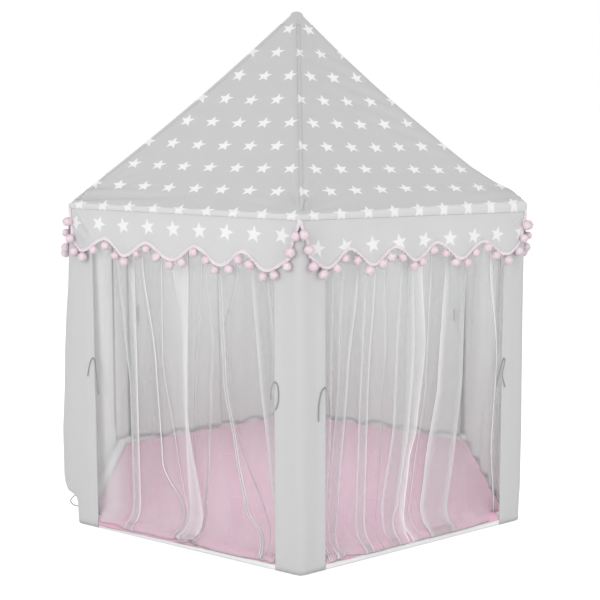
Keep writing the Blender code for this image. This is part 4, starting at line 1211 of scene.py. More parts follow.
def strip_spot(index, run, height, proud=0.0):
    """A point on a corner strip's inner surface; run goes round it from -1 to 1, 0 at the corner."""
    width = STRIP_EDGE + mitre(STRIP_IN)
    away = abs(run) * width
    wave = waver(run * 1.6, height * 3.2, index * 4.1) * ease((1 - abs(run)) * 4)
    wave += 0.5 * waver(run * 2.5, height * 9, index * 2.7) * ease((1 - abs(run)) * 4)
    out = STRIP_IN + STRIP_WAVE * (0.4 + wave) * ease(height / 0.05) + proud

    def wing(side, along):
        face = (index - 1) % SIDES if side < 0 else index
        across = SIDE + mitre(STRIP_IN) - along if side < 0 else along - mitre(STRIP_IN)
        return on_face(face, across, out + slack(face, across, height), height)

    if away >= STRIP_ROUND:
        return wing(run, away)
    start, end = wing(-1, STRIP_ROUND), wing(1, STRIP_ROUND)
    middle = corner(index, height, out)
    t = (run * width / STRIP_ROUND + 1) / 2
    return start * (1 - t) ** 2 + middle * 2 * t * (1 - t) + end * t ** 2


strip_finish = cloth_finish("grey strip cloth", STRIP_GREY, crumple=0.7, through=CLOTH_THROUGH)
for k in range(SIDES):
    def strip_place(u, v, k=k):
        return strip_spot(k, 2 * u - 1, mix(STRIP_LIFT, STRIP_TOP, v))

    def strip_map(u, v, k=k):
        return u * 2 * STRIP_WIDTH + k, v * (STRIP_TOP - STRIP_LIFT)

    strip = sewn_piece(f"corner_strip_{k + 1}.cloth", [(STRIP_COLUMNS, STRIP_ROWS, strip_place, strip_map)],
                       strip_finish, STRIP_CLOTH)
    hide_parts(f"corner_strip_{k + 1}")
    for side in (-1, 1):
        run = side * (1 - HEM_WIDTH / STRIP_WIDTH)
        heights = [mix(STRIP_LIFT, STRIP_TOP, step / HEM_STITCH_STEPS) for step in range(HEM_STITCH_STEPS + 1)]
        stitch_lines.append([strip_spot(k, run, height, STRIP_CLOTH + 0.0001) for height in heights])


# The base tunnel: the cover's lower edge, folded over the base tubes and stitched, so that it shows
# as a sill along the floor. Its outside is painted near white, as if brightly lit, and its inside is as grey as the
# walls.
TUNNEL_CLOTH = 0.0011
TUNNEL_IN = 0.0128
TUNNEL_LIFT = 0.0015
TUNNEL_COLUMNS = 150
TUNNEL_ROWS = 18
TUNNEL_WAVE = 0.0010
TUNNEL_TUCK = 0.0042
# How far out from the tubes' plane the grey of the sill's inside reaches, at the doorways and elsewhere
DOOR_SILL_EDGE = -0.002
WALL_SILL_EDGE = 0.010
# Painted light: the sill's outside is near white as if brightly lit; its inside keeps the walls' grey
SILL_PAINTED_LIT_WHITE = (0.95, 0.95, 0.95)
SILL_INNER = (0.70, 0.70, 0.70)


def tunnel_spot(face, across, turn):
    """A point of the tunnel's inner surface; turn goes over the tube from inside, 0, to outside, 1."""
    straight = BASE_HEIGHT - TUNNEL_LIFT
    total = 2 * straight + math.pi * TUNNEL_IN
    run = turn * total
    if run < straight:
        out, height = -TUNNEL_IN, TUNNEL_LIFT + run
    elif run > total - straight:
        out, height = TUNNEL_IN, TUNNEL_LIFT + total - run
    else:
        angle = (run - straight) / TUNNEL_IN
        out, height = -TUNNEL_IN * math.cos(angle), BASE_HEIGHT + TUNNEL_IN * math.sin(angle)
    wave = waver(across * 14, turn * 3, face * 7.7) + 0.6 * waver(across * 45, turn * 4, face)
    grip = TUNNEL_WAVE * wave * ease(min(across, SIDE - across) / 0.05)
    if turn > 0.5:
        out += abs(grip) * 0.5 - TUNNEL_TUCK * (1 - ease(min(across, SIDE - across) / 0.03)) * max(out, 0) / TUNNEL_IN
    else:
        height += grip * 0.5
    return out, height


def tunnel_panel(face):
    """The tunnel over one base tube, mitred at its corners."""
    def place(u, v):
        out, height = tunnel_spot(face, u * SIDE, 1 - v)
        return on_face(face, across_ring(u, out), out, height)

    return TUNNEL_COLUMNS, TUNNEL_ROWS, place, lambda u, v: (u * SIDE + face, v * 0.065)


tunnel_painted_lit_finish = cloth_finish("sill cloth painted lit white", SILL_PAINTED_LIT_WHITE, crumple=1.4)
tunnel = sewn_piece("base_tunnel.cloth", [tunnel_panel(face) for face in range(SIDES)], tunnel_painted_lit_finish, TUNNEL_CLOTH)
tunnel.data.materials.append(cloth_finish("grey cloth inside the sill", SILL_INNER, crumple=1.4))
for quad in tunnel.data.polygons:
    reach, face = max((quad.center.dot(corner(k, 0).lerp(corner(k + 1, 0), 0.5).normalized()), k) for k in range(SIDES))
    if reach < APOTHEM + (DOOR_SILL_EDGE if face in (FRONT_LEFT, FRONT_RIGHT) else WALL_SILL_EDGE):
        quad.material_index = 1
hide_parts("base_tunnel")


# The floor mat: a pink hexagon of woven cloth over a thin layer of wadding, laid inside the base
# tunnel. Its edge is turned in and rounded, and folding for storage has left long soft creases.
MAT_THICKNESS = 0.010
MAT_CORNER_ROUNDING = 0.030
MAT_EDGE = 0.006
MAT_RINGS = 90
MAT_SPOKES = 240
MAT_CREASE = 0.0016
MAT_CROWN = 0.0008
MAT_PINK = (0.760, 0.452, 0.580)
MAT_OUT = 0.0143
# The folds for storage: how far each lies from the mat's middle, and its turn
MAT_CREASES = ((0.17, 0.12), (-0.19, 0.05), (0.02, 1.15), (-0.10, -1.02))


def mat_reach(angle):
    """How far the mat goes from its middle in a direction, with its corners rounded."""
    apothem = APOTHEM - MAT_OUT
    inner = apothem - MAT_CORNER_ROUNDING
    turn = (angle + math.pi / 2) % (2 * HALF_SECTOR) - HALF_SECTOR
    flat = apothem / math.cos(turn)
    corner_reach = inner / math.cos(HALF_SECTOR)
    gap = HALF_SECTOR - abs(turn)
    across = corner_reach * math.sin(gap)
    if across >= MAT_CORNER_ROUNDING:
        return flat
    rounded = corner_reach * math.cos(gap) + math.sqrt(MAT_CORNER_ROUNDING ** 2 - across ** 2)
    return min(flat, rounded)


def mat_rise(x, y, edge):
    """The height of the mat's top: wadding that thins to the edge, and the creases from folding."""
    height = MAT_THICKNESS - 0.0012 + MAT_CROWN * waver(x * 4, y * 4, 2.2)
    for middle, angle in MAT_CREASES:
        away = abs(x * math.sin(angle) + y * math.cos(angle) - middle + 0.012 * waver(x * 5, y * 5, angle))
        height -= MAT_CREASE * math.exp(-(away / 0.006) ** 2)
        height += 0.4 * MAT_CREASE * math.exp(-((away - 0.016) / 0.010) ** 2)
    fall = min(edge / MAT_EDGE, 1.0)
    return min(height, MAT_THICKNESS) * math.sqrt(max(1 - (1 - fall) ** 2, 0.0)) * 0.5 + height * 0.5 * (fall > 0)


mat_mesh = bmesh.new()
rings = [(j / MAT_RINGS) ** 0.8 for j in range(1, MAT_RINGS + 1)]
lid, base = [], []
for share in rings:
    top_ring, low_ring = [], []
    for i in range(MAT_SPOKES):
        angle = 2 * math.pi * i / MAT_SPOKES
        reach = mat_reach(angle)
        away = reach * share
        x, y, edge = away * math.cos(angle), away * math.sin(angle), reach - away
        full = mat_rise(x, y, max(edge, MAT_EDGE * 2))
        round_off = math.sqrt(max(1 - (1 - min(edge / MAT_EDGE, 1.0)) ** 2, 0.0))
        top_ring.append(mat_mesh.verts.new((x, y, full / 2 + full / 2 * round_off)))
        low_ring.append(mat_mesh.verts.new((x, y, full / 2 - full / 2 * round_off)) if edge > 1e-6 else top_ring[-1])
    lid.append(top_ring)
    base.append(low_ring)
top_middle = mat_mesh.verts.new((0, 0, mat_rise(0, 0, 1)))
low_middle = mat_mesh.verts.new((0, 0, 0))
for i in range(MAT_SPOKES):
    n = (i + 1) % MAT_SPOKES
    mat_mesh.faces.new((top_middle, lid[0][i], lid[0][n]))
    mat_mesh.faces.new((low_middle, base[0][n], base[0][i]))
    for j in range(MAT_RINGS - 1):
        mat_mesh.faces.new((lid[j][i], lid[j + 1][i], lid[j + 1][n], lid[j][n]))
        mat_mesh.faces.new(list(dict.fromkeys((base[j][i], base[j][n], base[j + 1][n], base[j + 1][i]))))
layer = mat_mesh.loops.layers.uv.new("cloth map")
for quad in mat_mesh.faces:
    for loop in quad.loops:
        loop[layer].uv = loop.vert.co.xy
mat_data = bpy.data.meshes.new("floor_mat.padded")
mat_mesh.to_mesh(mat_data)
mat_mesh.free()
mat_data.shade_smooth()
mat_finish = cloth_finish("pink mat cloth", MAT_PINK, crumple=0.5, uneven=0.08, relief=0.0012)
mat = link_piece("floor_mat.padded", mat_data, mat_finish)
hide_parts("floor_mat")


# The mat's flaps: a tongue of the mat's own pink cloth at each doorway, which goes on over the sill
# and down its outside, nearly to the floor.
FLAP_ROUTE = ((-0.0340, 0.0108), (-0.0240, 0.0112), (-0.0178, 0.0170), (-0.0142, 0.0235), (-0.0080, 0.0280),
              (0.0, 0.0297), (0.0080, 0.0279), (0.0141, 0.0226), (0.0164, 0.0160), (0.0168, 0.0))
FLAP_SAMPLES = 3
FLAP_COLUMNS = 110
FLAP_CLOTH = 0.0010
FLAP_IN = 0.0640
# How high each flap's hem is above the floor, at its left and right end
FLAP_HEMS = {FRONT_LEFT: (0.0075, 0.0150), FRONT_RIGHT: (0.0150, 0.0155)}
flap_profile = [point.xy for point in smooth_route([(out, height, 0) for out, height in FLAP_ROUTE], FLAP_SAMPLES)]
for face, side_name in ((FRONT_LEFT, "left"), (FRONT_RIGHT, "right")):
    def flap_place(u, v, face=face):
        out, height = flap_profile[round(v * (len(flap_profile) - 1))]
        hem = mix(*FLAP_HEMS[face], u) + 0.0012 * waver(u * 11, 0.4, face)
        wave = 0.0009 * abs(waver(u * 26, v * 5, face * 2.3)) * math.sin(math.pi * v)
        across = mix(FLAP_IN, SIDE - FLAP_IN, u)
        return on_face(face, across, out + wave * (1 if out > 0 else -0.2), max(height, hem) + wave)

    flap = sewn_piece(f"mat_flap_{side_name}", [(FLAP_COLUMNS, len(flap_profile) - 1, lambda u, v: flap_place(u, 1 - v),
                                                 lambda u, v: (u * 0.54, v * 0.09))], mat_finish, FLAP_CLOTH)


# The cloth walls at the back: grey panels hung inside the posts from the eave, gathered into soft
# folds. The rear left wall is split in its middle into two panels, which can be tied aside.
WALL_CLOTH = 0.0010
WALL_FOLD = 0.007
LOW_FOLD = 0.0045
TOP_FOLD = 0.003
HANG_INSET = 0.0305
HANG_TOP = EAVE_HEIGHT - COVER_GAP
WALL_HEM = 0.0165
WALL_HEM_OUT = -0.0225
HEM_WAVE = 0.010
OVERLOCK = 0.0009
WALL_GREY = (0.715, 0.722, 0.719)
WALL_LAP = 0.016
LAP_DEPTH = 0.011
WALL_COLUMNS = 90
WALL_ROWS = 60
WALL_STRAY = 0.0022
# Points on a hem's thread and on a free edge, where the thread goes on up nine tenths of the height
HEM_STEPS = 120
EDGE_STEPS = 40
EDGE_END = 37
# The overlock is drawn dark; along the walls' hems and free edges it also stands for the painted shadow line there
OVERLOCK_DARK = (0.24, 0.23, 0.24)
OVERLOCK_LIGHT = (0.40, 0.38, 0.40)
wall_finish = cloth_finish("grey wall cloth", WALL_GREY, crumple=1.2, through=CLOTH_THROUGH)
hem_finish, tree, shader = new_finish("grey overlock thread", 0.85)
ply = add_node(tree, "ShaderNodeTexWave", {"Vector": own_place(tree), "Scale": 180.0, "Distortion": 2.0},
               bands_direction="DIAGONAL").outputs["Fac"]
set_surface(tree, shader, blended(tree, ply, OVERLOCK_DARK, OVERLOCK_LIGHT), ply, 0.5, 0.0004)


def swell(crests, share):
    """Runs from 1 at each crest to -1 between crests, and 0 at the edges of the cloth."""
    stops = [(0.0, 0.0)]
    for crest, following in zip(crests, crests[1:]):
        stops += [(crest, 1.0), ((crest + following) / 2, -1.0)]
    stops += [(crests[-1], 1.0), (1.0, 0.0)]
    for (first, rise), (second, next_rise) in zip(stops, stops[1:]):
        if share <= second:
            return mix(rise, next_rise, ease((share - first) / (second - first)))
    return 0.0


def hung_wall(name, face, start, end, crests, body=TENT, lap=0.0, nodes=()):
    """A gathered wall of cloth from start to end across a face; end is the free or far edge."""
    sign = 1 if end > start else -1

    def hang(share, v):
        lean = lap * ease((share - 0.68) / 0.20) * ease(1.6 - v)
        crest = swell(crests, share)
        stray = waver(share * 5 + face, v * 2.3, face * 1.3) * ease(4 * min(share, 1 - share))
        fold = mix(mix(LOW_FOLD, WALL_FOLD, min(v * 4, 1.0)), TOP_FOLD, max(v * 1.33 - 0.33, 0.0))
        out = crest * fold - lean + WALL_STRAY * stray * (1 - v * 0.5) + WALL_HEM_OUT * (1 - v) ** 1.6
        hem = WALL_HEM + HEM_WAVE * ease(0.25 * (1 + crest) + 1.4 * abs(waver(share * 4, 0.3, face)))
        hem += 0.0022 * waver(share * 26, 0.9, face) * (1 - v)
        sway = 0.004 * waver(share * 3, v * 1.7, face * 5.5) * ease(3 * min(share, 1 - share))
        return on_face(face, mix(start, end, share) + sway, out, mix(hem, HANG_TOP, v))

    def place(u, v):
        return hang(u if sign > 0 else 1 - u, v)

    span = abs(end - start)
    mesh = sew(name, [(WALL_COLUMNS, WALL_ROWS, place, lambda u, v: (u * span + face, v * (HANG_TOP - WALL_HEM)))])
    wall = link_piece(name, mesh, wall_finish, body if body == TENT else None)
    edge = [hang(step / HEM_STEPS, 0) for step in range(HEM_STEPS + 1)]
    if body != TENT:
        edge += [hang(1, step / EDGE_STEPS) for step in range(1, EDGE_END)]
    # A dark overlock cord, which also stands for the painted shadow line along the hem and free edge
    hem = grow(name.replace(".cloth", ".hem"), line_mesh("hem", [edge]), round_rod, hem_finish,
               body if body == TENT else None, Radius=OVERLOCK, Sides=6)
    if body != TENT:
        for piece in (wall, hem):
            on_face(face, start, 0, WALL_HEM)
            on_face(face, start + sign * 0.30, 0, WALL_HEM - 0.055)
            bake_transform(piece)
    thicken(wall, WALL_CLOTH)
    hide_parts(*nodes)


hung_wall("rear_right_wall.cloth", BACK_RIGHT, HANG_INSET, SIDE - HANG_INSET, (0.12, 0.30, 0.50, 0.68, 0.88),
          nodes=["rear_right_wall"])
hung_wall("right_side_wall.cloth", RIGHT_SIDE, HANG_INSET, SIDE - HANG_INSET, (0.15, 0.38, 0.62, 0.86),
          nodes=["right_side_wall"])
hung_wall("rear_left_panel_inner.cloth", BACK_LEFT, HANG_INSET, SIDE / 2 + WALL_LAP, (0.20, 0.48, 0.80),
          body="rear_left_panel_inner", nodes=["rear_left_panel_inner"])
hung_wall("rear_left_panel_outer.cloth", BACK_LEFT, SIDE - HANG_INSET, SIDE / 2 - WALL_LAP, (0.18, 0.50, 0.82),
          body="rear_left_panel_outer", lap=LAP_DEPTH, nodes=["rear_left_panel_outer"])


# The sleeves behind the posts: each corner strip's lining, which closes round the inside of its post and keeps
# the strip on it, from the base tunnel to the eave.
SLEEVE_LOW = BASE_HEIGHT + 0.016
SLEEVE_TOP = EAVE_HEIGHT - 0.016
SLEEVE_ROUTE = ((-1, 0.035, 0.0128), (-1, 0.024, 0.0015), (0, 0.0, -0.0150), (1, 0.024, 0.0015), (1, 0.035, 0.0128))
SLEEVE_SAMPLES = 4
SLEEVE_ROWS = 40
SLEEVE_WAVE = 0.0012
SLEEVE_WIDTH = 0.088
for k in range(SIDES):
    points = [corner(k, 0, out) if not side else on_face((k - 1) % SIDES, SIDE - across, out, 0) if side < 0
              else on_face(k, across, out, 0) for side, across, out in SLEEVE_ROUTE]
    plan = smooth_route(points, SLEEVE_SAMPLES)
    inward = -corner(k, 0).normalized()

    def sleeve_place(u, v, k=k, plan=plan, inward=inward):
        height = mix(SLEEVE_LOW, SLEEVE_TOP, v)
        wave = SLEEVE_WAVE * (1 + waver(u * 3, height * 5, k * 2.2)) * math.sin(math.pi * u)
        return plan[round(u * (len(plan) - 1))] + inward * wave + UP * height

    sleeve = sewn_piece(f"corner_strip_{k + 1}.sleeve", [
        (len(plan) - 1, SLEEVE_ROWS, sleeve_place, lambda u, v: (u * SLEEVE_WIDTH, v * 0.81))], wall_finish, WALL_CLOTH)


# The left side wall: grey cloth sewn between two corner strips, slack enough to belly out past the
# base tube toward its front end.
SIDE_WALL_COLUMNS = 110
SIDE_WALL_ROWS = 90
SIDE_WAVE = 0.0034


def side_place(u, v):
    height = mix(TUNNEL_LIFT, STRIP_TOP, v)
    across = mix(STRIP_EDGE - 0.004, SIDE - STRIP_EDGE + 0.004, u)
    folds = waver(u * 9, height * 1.4, 3.3) + 0.5 * waver(u * 21, height * 2.5, 9.1)
    give = SIDE_WAVE * folds * ease(4 * min(u, 1 - u)) * ease(height / 0.08) * ease((STRIP_TOP - height) / 0.12)
    return on_face(LEFT_SIDE, across, STRIP_IN - 0.0004 + max(slack(LEFT_SIDE, across, height) + give, 0), height)


side_wall = sewn_piece("left_side_wall.cloth", [
    (SIDE_WALL_COLUMNS, SIDE_WALL_ROWS, side_place, lambda u, v: (u * 0.56, v * 0.85))], wall_finish, WALL_CLOTH)
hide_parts("left_side_wall")


# The peg loop: thin grey elastic cord, bent round, with both ends sewn into the left side wall's hem
# beside its corner strip.
LOOP_CORD = 0.0026
LOOP_ACROSS = SIDE - 0.022
loop_route = smooth_route([on_face(LEFT_SIDE, LOOP_ACROSS + aside, out, height) for aside, out, height in (
    (0.0, 0.0185, 0.0660), (0.001, 0.0310, 0.0640), (0.002, 0.0400, 0.0520), (0.001, 0.0330, 0.0400),
    (-0.001, 0.0185, 0.0350))], 5)
peg_loop = grow("peg_loop", line_mesh("loop", [loop_route]), round_rod, ribbon_finish, Radius=LOOP_CORD / 2, Sides=8,
                Capped=1)
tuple(loop_route[0])
route_length(loop_route)


# The cover's stitching: pale polyester thread in a lockstitch, four stitches to two centimetres, down
# both sides of the ridge seams and the corner strips, and round the band.
STITCH_LENGTH = 0.0033
STITCH_PITCH = 0.0050
STITCH_RADIUS = 0.00032
THREAD_GREY = (0.80, 0.80, 0.80)
THREAD_SHADE = (0.62, 0.62, 0.62)

stitches, given = new_pattern("stitches", Length=0.003, Pitch=0.005, Radius=0.0003, Material="")
route = add_node(stitches, "GeometryNodeMeshToCurve", {"Mesh": given["Geometry"]})
even = add_node(stitches, "GeometryNodeResampleCurve", {"Curve": route.outputs[0], "Length": given["Pitch"]},
                mode="LENGTH")
ball = add_node(stitches, "GeometryNodeMeshIcoSphere", {"Radius": 1.0, "Subdivisions": 1})
size = add_node(stitches, "ShaderNodeCombineXYZ", {0: given["Radius"], 1: given["Radius"], 2: math_node(
    stitches, "MULTIPLY", given["Length"], 0.5)})
bead = add_node(stitches, "GeometryNodeTransform", {"Geometry": ball.outputs[0], "Scale": size.outputs[0]})
ahead = add_node(stitches, "GeometryNodeInputTangent").outputs[0]
turned = add_node(stitches, "FunctionNodeAlignRotationToVector", {"Vector": ahead}, axis="Z")
set_out = add_node(stitches, "GeometryNodeInstanceOnPoints", {"Points": even.outputs[0], "Instance": bead.outputs[0],
                                                              "Rotation": turned.outputs[0]})
close_pattern(stitches, set_out.outputs[0], given["Material"])

thread_finish, tree, shader = new_finish("pale sewing thread", 0.55, Sheen_Weight=0.2)
twist = noise_node(tree, own_place(tree), 1500.0, 2.0)
tree.links.new(blended(tree, twist, THREAD_GREY, THREAD_SHADE), shader.inputs["Base Color"])
stitching = grow("stitching", line_mesh("stitch lines", stitch_lines), stitches, thread_finish, Length=STITCH_LENGTH,
                 Pitch=STITCH_PITCH, Radius=STITCH_RADIUS)


# The door curtains: four panels of white tulle, two to a doorway, gathered under the eave so that
# they fall in long pleats of three layers. Each hem is overlocked in grey and crumples on the sill,
# and the two panels of a doorway lap at its middle.
TULLE_HEM = 0.024
TULLE_HEM_OUT = -0.0245
TULLE_ROWS = 84
TULLE_SAMPLES = 3
# The power by which the curtains' rows crowd toward the hem
TULLE_CROWDING = 1.35
PLEAT_LIFT = 0.0034
PLEAT_TURN = 0.0016
LEAST_PLEAT = 0.0008
TULLE_WAVE = 0.0045
TULLE_STRAY = 0.0022
TULLE_CRUMPLE = 0.012
CRUMPLE_TOP = 0.10
HEM_CORD = 0.0009
# Where a hem lies crushed on the sill: doorway, place across, how far to each side, and how much
CRUSHES = ((FRONT_LEFT, 0.100, 0.030, 0.013), (FRONT_LEFT, 0.345, 0.055, 0.016), (FRONT_LEFT, 0.580, 0.030, 0.013),
           (FRONT_RIGHT, 0.110, 0.040, 0.014), (FRONT_RIGHT, 0.250, 0.030, 0.007), (FRONT_RIGHT, 0.560, 0.040, 0.007))
CLOTH_CORNER = 0.0095
# The white net is drawn grey over its flat parts and painted white along its fold edges, as a highlight
TULLE_FOLD_HIGHLIGHT = (0.97, 0.97, 0.97)
TULLE_NET = (0.70, 0.705, 0.71)
TULLE_GAPS = (0.63, 0.635, 0.64)
TULLE_VEIL = 0.31
TULLE_EDGE_VEIL = 1.0
# The mark inside a pleat: net that lies on net hides itself in part, so this share of its veil is taken off
LAYERED = -0.25
# The hems lie over the sill: the way from the hem up, as (out, height), and how much of each row's height it takes up
HEM_ROUTE = ((0.0192, 0.0150), (0.0184, 0.0225), (0.0125, 0.0290), (0.0020, 0.0322), (-0.0085, 0.0365),
             (-0.0175, 0.0530), (-0.0225, 0.0860))
HEM_RISE = 0.060
HEM_TURN = 0.014
NET_PITCH = 0.0016
# Where each panel's pleats lie: the left and right edge of a pleat as (height, place from the
# doorway's left corner), then the panel's free edge
LEFT_OUTER_PLEATS = (
    (((0.70, 0.134), (0.533, 0.151), (0.393, 0.164), (0.04, 0.162)), ((0.70, 0.191), (0.04, 0.186))),
    (((0.70, 0.212), (0.473, 0.244), (0.195, 0.258), (0.093, 0.314), (0.04, 0.320)),
     ((0.70, 0.219), (0.473, 0.251), (0.195, 0.264), (0.093, 0.320), (0.04, 0.325))),
    (((0.70, 0.274), (0.476, 0.270), (0.237, 0.303), (0.04, 0.334)),
     ((0.70, 0.279), (0.476, 0.274), (0.237, 0.306), (0.04, 0.337))),
)
LEFT_OUTER_EDGE = ((0.70, 0.359), (0.438, 0.345), (0.322, 0.340), (0.082, 0.385), (0.04, 0.380))
LEFT_INNER_PLEATS = (
    (((0.70, 0.543), (0.464, 0.557), (0.252, 0.578), (0.026, 0.610)),
     ((0.70, 0.590), (0.481, 0.607), (0.25, 0.624), (0.026, 0.636))),
    (((0.70, 0.496), (0.580, 0.465), (0.40, 0.470), (0.04, 0.585)),
     ((0.70, 0.500), (0.580, 0.466), (0.40, 0.4705), (0.04, 0.5855))),
    (((0.70, 0.446), (0.429, 0.452), (0.266, 0.482), (0.113, 0.514), (0.040, 0.568)),
     ((0.70, 0.453), (0.429, 0.459), (0.266, 0.489), (0.113, 0.521), (0.040, 0.576))),
    (((0.70, 0.412), (0.538, 0.422), (0.401, 0.411), (0.223, 0.398), (0.10, 0.386)),
     ((0.70, 0.415), (0.538, 0.426), (0.401, 0.415), (0.223, 0.401), (0.10, 0.388))),
    (((0.70, 0.396), (0.463, 0.359), (0.30, 0.352), (0.04, 0.350)),
     ((0.70, 0.400), (0.463, 0.362), (0.30, 0.3525), (0.04, 0.3505))),
)
LEFT_INNER_EDGE = ((0.70, 0.302), (0.567, 0.326), (0.30, 0.326), (0.04, 0.332))
RIGHT_INNER_PLEATS = (
    (((0.70, 0.063), (0.034, 0.080)), ((0.70, 0.104), (0.279, 0.104), (0.039, 0.087))),
    (((0.70, 0.126), (0.441, 0.123), (0.223, 0.108), (0.05, 0.102)),
     ((0.70, 0.173), (0.471, 0.149), (0.175, 0.130), (0.031, 0.120))),
    (((0.70, 0.197), (0.321, 0.189), (0.056, 0.186)), ((0.70, 0.224), (0.430, 0.212), (0.040, 0.210))),
    (((0.70, 0.246), (0.536, 0.256), (0.334, 0.251), (0.05, 0.236)),
     ((0.70, 0.250), (0.536, 0.260), (0.334, 0.2515), (0.05, 0.2365))),
    (((0.70, 0.305), (0.492, 0.296), (0.305, 0.290), (0.110, 0.257), (0.046, 0.262)),
     ((0.70, 0.338), (0.492, 0.346), (0.305, 0.336), (0.110, 0.312), (0.046, 0.290))),
)
RIGHT_INNER_EDGE = ((0.70, 0.364), (0.510, 0.383), (0.294, 0.360), (0.222, 0.342), (0.067, 0.330), (0.04, 0.316))
RIGHT_OUTER_PLEATS = (
    (((0.70, 0.583), (0.453, 0.616), (0.20, 0.606), (0.04, 0.622)),
     ((0.70, 0.622), (0.446, 0.628), (0.192, 0.618), (0.011, 0.634))),
    (((0.70, 0.440), (0.400, 0.431), (0.171, 0.397), (0.080, 0.385)),
     ((0.70, 0.506), (0.414, 0.502), (0.244, 0.486), (0.040, 0.464))),
    (((0.70, 0.398), (0.400, 0.392), (0.171, 0.362), (0.080, 0.352)),
     ((0.70, 0.403), (0.400, 0.396), (0.171, 0.365), (0.080, 0.355))),
)
RIGHT_OUTER_EDGE = ((0.70, 0.330), (0.40, 0.334), (0.20, 0.330), (0.04, 0.326))


def line_at(line, height):
    """The place across a doorway of a drawn line at a height, straight on above its first point."""
    if height >= line[0][0]:
        return line[0][1] - CLOTH_CORNER
    for (high, start), (low, end) in zip(line, line[1:]):
        if height >= low:
            share = (height - low) / (high - low)
            return mix(end, start, ease(share) * 0.4 + share * 0.6) - CLOTH_CORNER
    return line[-1][1] - CLOTH_CORNER


def pleated_row(start, sign, pleats, edge, height):
    """Places across, offsets and marks of a pleated panel at one height: 1 at a fold, LAYERED inside a pleat."""
    stops = [(start, 0.0, 0.6)]
    for left, right in pleats:
        low, high = line_at(left, height), line_at(right, height)
        near, far = (low, high) if sign > 0 else (high, low)
        width = max(abs(far - near), LEAST_PLEAT)
        far = near + sign * width
        middle = (near + far) / 2
        lift, turn = min(PLEAT_LIFT, 0.5 * width), sign * min(PLEAT_TURN, 0.25 * width)
        shown = min(width / 0.003, 1.0)
        stops += [
            (near - 2 * turn, lift * 0.8, 0.0), (middle, lift * 1.1, LAYERED),
            (far - turn, lift, 0.25 * shown), (far, lift * 0.5, shown), (far - turn, 0.0, 0.25 * shown),
            (middle, 0.0, LAYERED),
            (near + turn, 0.0, 0.25 * shown), (near, -lift * 0.5, shown), (near + turn, -lift, 0.25 * shown),
            (middle, -lift * 1.1, LAYERED), (far + 2 * turn, -lift * 0.8, 0.0),
        ]
    stops.append((line_at(edge, height) - sign * 0.004, 0.0, 0.3))
    stops.append((line_at(edge, height), 0.0, 1.0))
    return [tuple(point) for point in smooth_route(stops, TULLE_SAMPLES)]


hem_way = smooth_route([(out, height, 0) for out, height in HEM_ROUTE], 4)


def tulle_point(face, across, out, height, v, lap, side):
    """Where a point of a pleated row hangs, with the sway, the crumple above the hem and the lean inwards."""
    low = 1 - ease((height - TULLE_HEM) / CRUMPLE_TOP)
    sway = waver(across * 9, height * 3, face + side) * TULLE_STRAY * (1 - v * 0.6)
    crush = waver(across * 38, height * 22, face + side * 2.0) * TULLE_CRUMPLE * low
    wave = TULLE_WAVE * math.sin(across * 58 + side * 1.7 + face) * (1 - 0.7 * v)
    out += TULLE_HEM_OUT * (1 - v) + wave + sway + crush * 0.5 - lap
    rise = waver(across * 24, 1.1, face + side) * TULLE_CRUMPLE * low * 0.8
    near = ease(1 - (height - TULLE_HEM) / 0.045)
    for doorway, middle, reach, much in CRUSHES:
        if doorway == face:
            here = much * near * math.exp(-((across - middle) / reach) ** 2)
            rise += here * (0.7 + 1.3 * waver(across * 95, height * 30, side))
            sway += here * 1.2 * waver(height * 60, across * 55, side + 4.0)
            out -= here * waver(across * 70, height * 50, side + 8.0)
    out, height, climb = min(out, 0.004), height + max(rise, -0.4 * TULLE_CRUMPLE), height - TULLE_HEM
    inside = ease((min(across, SIDE - across) - STRIP_EDGE + 0.004) / HEM_TURN)
    if climb < HEM_RISE and inside:
        lie = climb / HEM_RISE * (len(hem_way) - 1)
        low, high = hem_way[int(lie)], hem_way[min(int(lie) + 1, len(hem_way) - 1)]
        over, level = low.lerp(high, lie - int(lie)).xy
        loose = ease(climb / HEM_RISE)
        over = mix(over + 0.5 * abs(crush) * (1 if over > 0 else 0), out, loose * loose)
        level = mix(level + 0.7 * abs(rise) + 0.3 * abs(crush), height, loose * loose)
        out, height = mix(out, over, inside), mix(height, level, inside)
    return on_face(face, across + sway, out, height)


tulle_finish, tree, shader = new_finish("white tulle", 0.75, Sheen_Weight=0.25, Specular_IOR_Level=0.2)
flat = add_node(tree, "ShaderNodeUVMap", uv_map="cloth map").outputs[0]
axes = add_node(tree, "ShaderNodeSeparateXYZ", {0: scaled(tree, flat, 2 * math.pi / NET_PITCH)})
one = math_node(tree, "SINE", math_node(tree, "ADD", axes.outputs[0], axes.outputs[1]))
other = math_node(tree, "SINE", math_node(tree, "SUBTRACT", axes.outputs[0], axes.outputs[1]))
threads_shown = math_node(tree, "MAXIMUM", math_node(tree, "ABSOLUTE", one), math_node(tree, "ABSOLUTE", other))
cloudy = noise_node(tree, vector_node(tree, "MULTIPLY", own_place(tree), (14.0, 14.0, 3.0)), 1.0, 3.0)
mark = add_node(tree, "ShaderNodeAttribute", attribute_name="fold cover and highlight").outputs["Fac"]
folds = math_node(tree, "MAXIMUM", mark, 0.0)
pale = math_node(tree, "POWER", folds, 0.4)
even = math_node(tree, "MULTIPLY", math_node(tree, "ADD", 0.35, threads_shown), math_node(tree, "ADD", 0.35,
                 math_node(tree, "MULTIPLY", cloudy, 0.8)))
veil = math_node(tree, "MULTIPLY", math_node(tree, "MULTIPLY", even, TULLE_VEIL),
                 math_node(tree, "ADD", 1.0, math_node(tree, "MINIMUM", mark, 0.0)))
edge_veil = math_node(tree, "MULTIPLY", math_node(tree, "POWER", folds, 1.2), TULLE_EDGE_VEIL)
cover = math_node(tree, "ADD", veil, edge_veil, clamp=True)
netting = blended(tree, threads_shown, TULLE_GAPS, TULLE_NET)
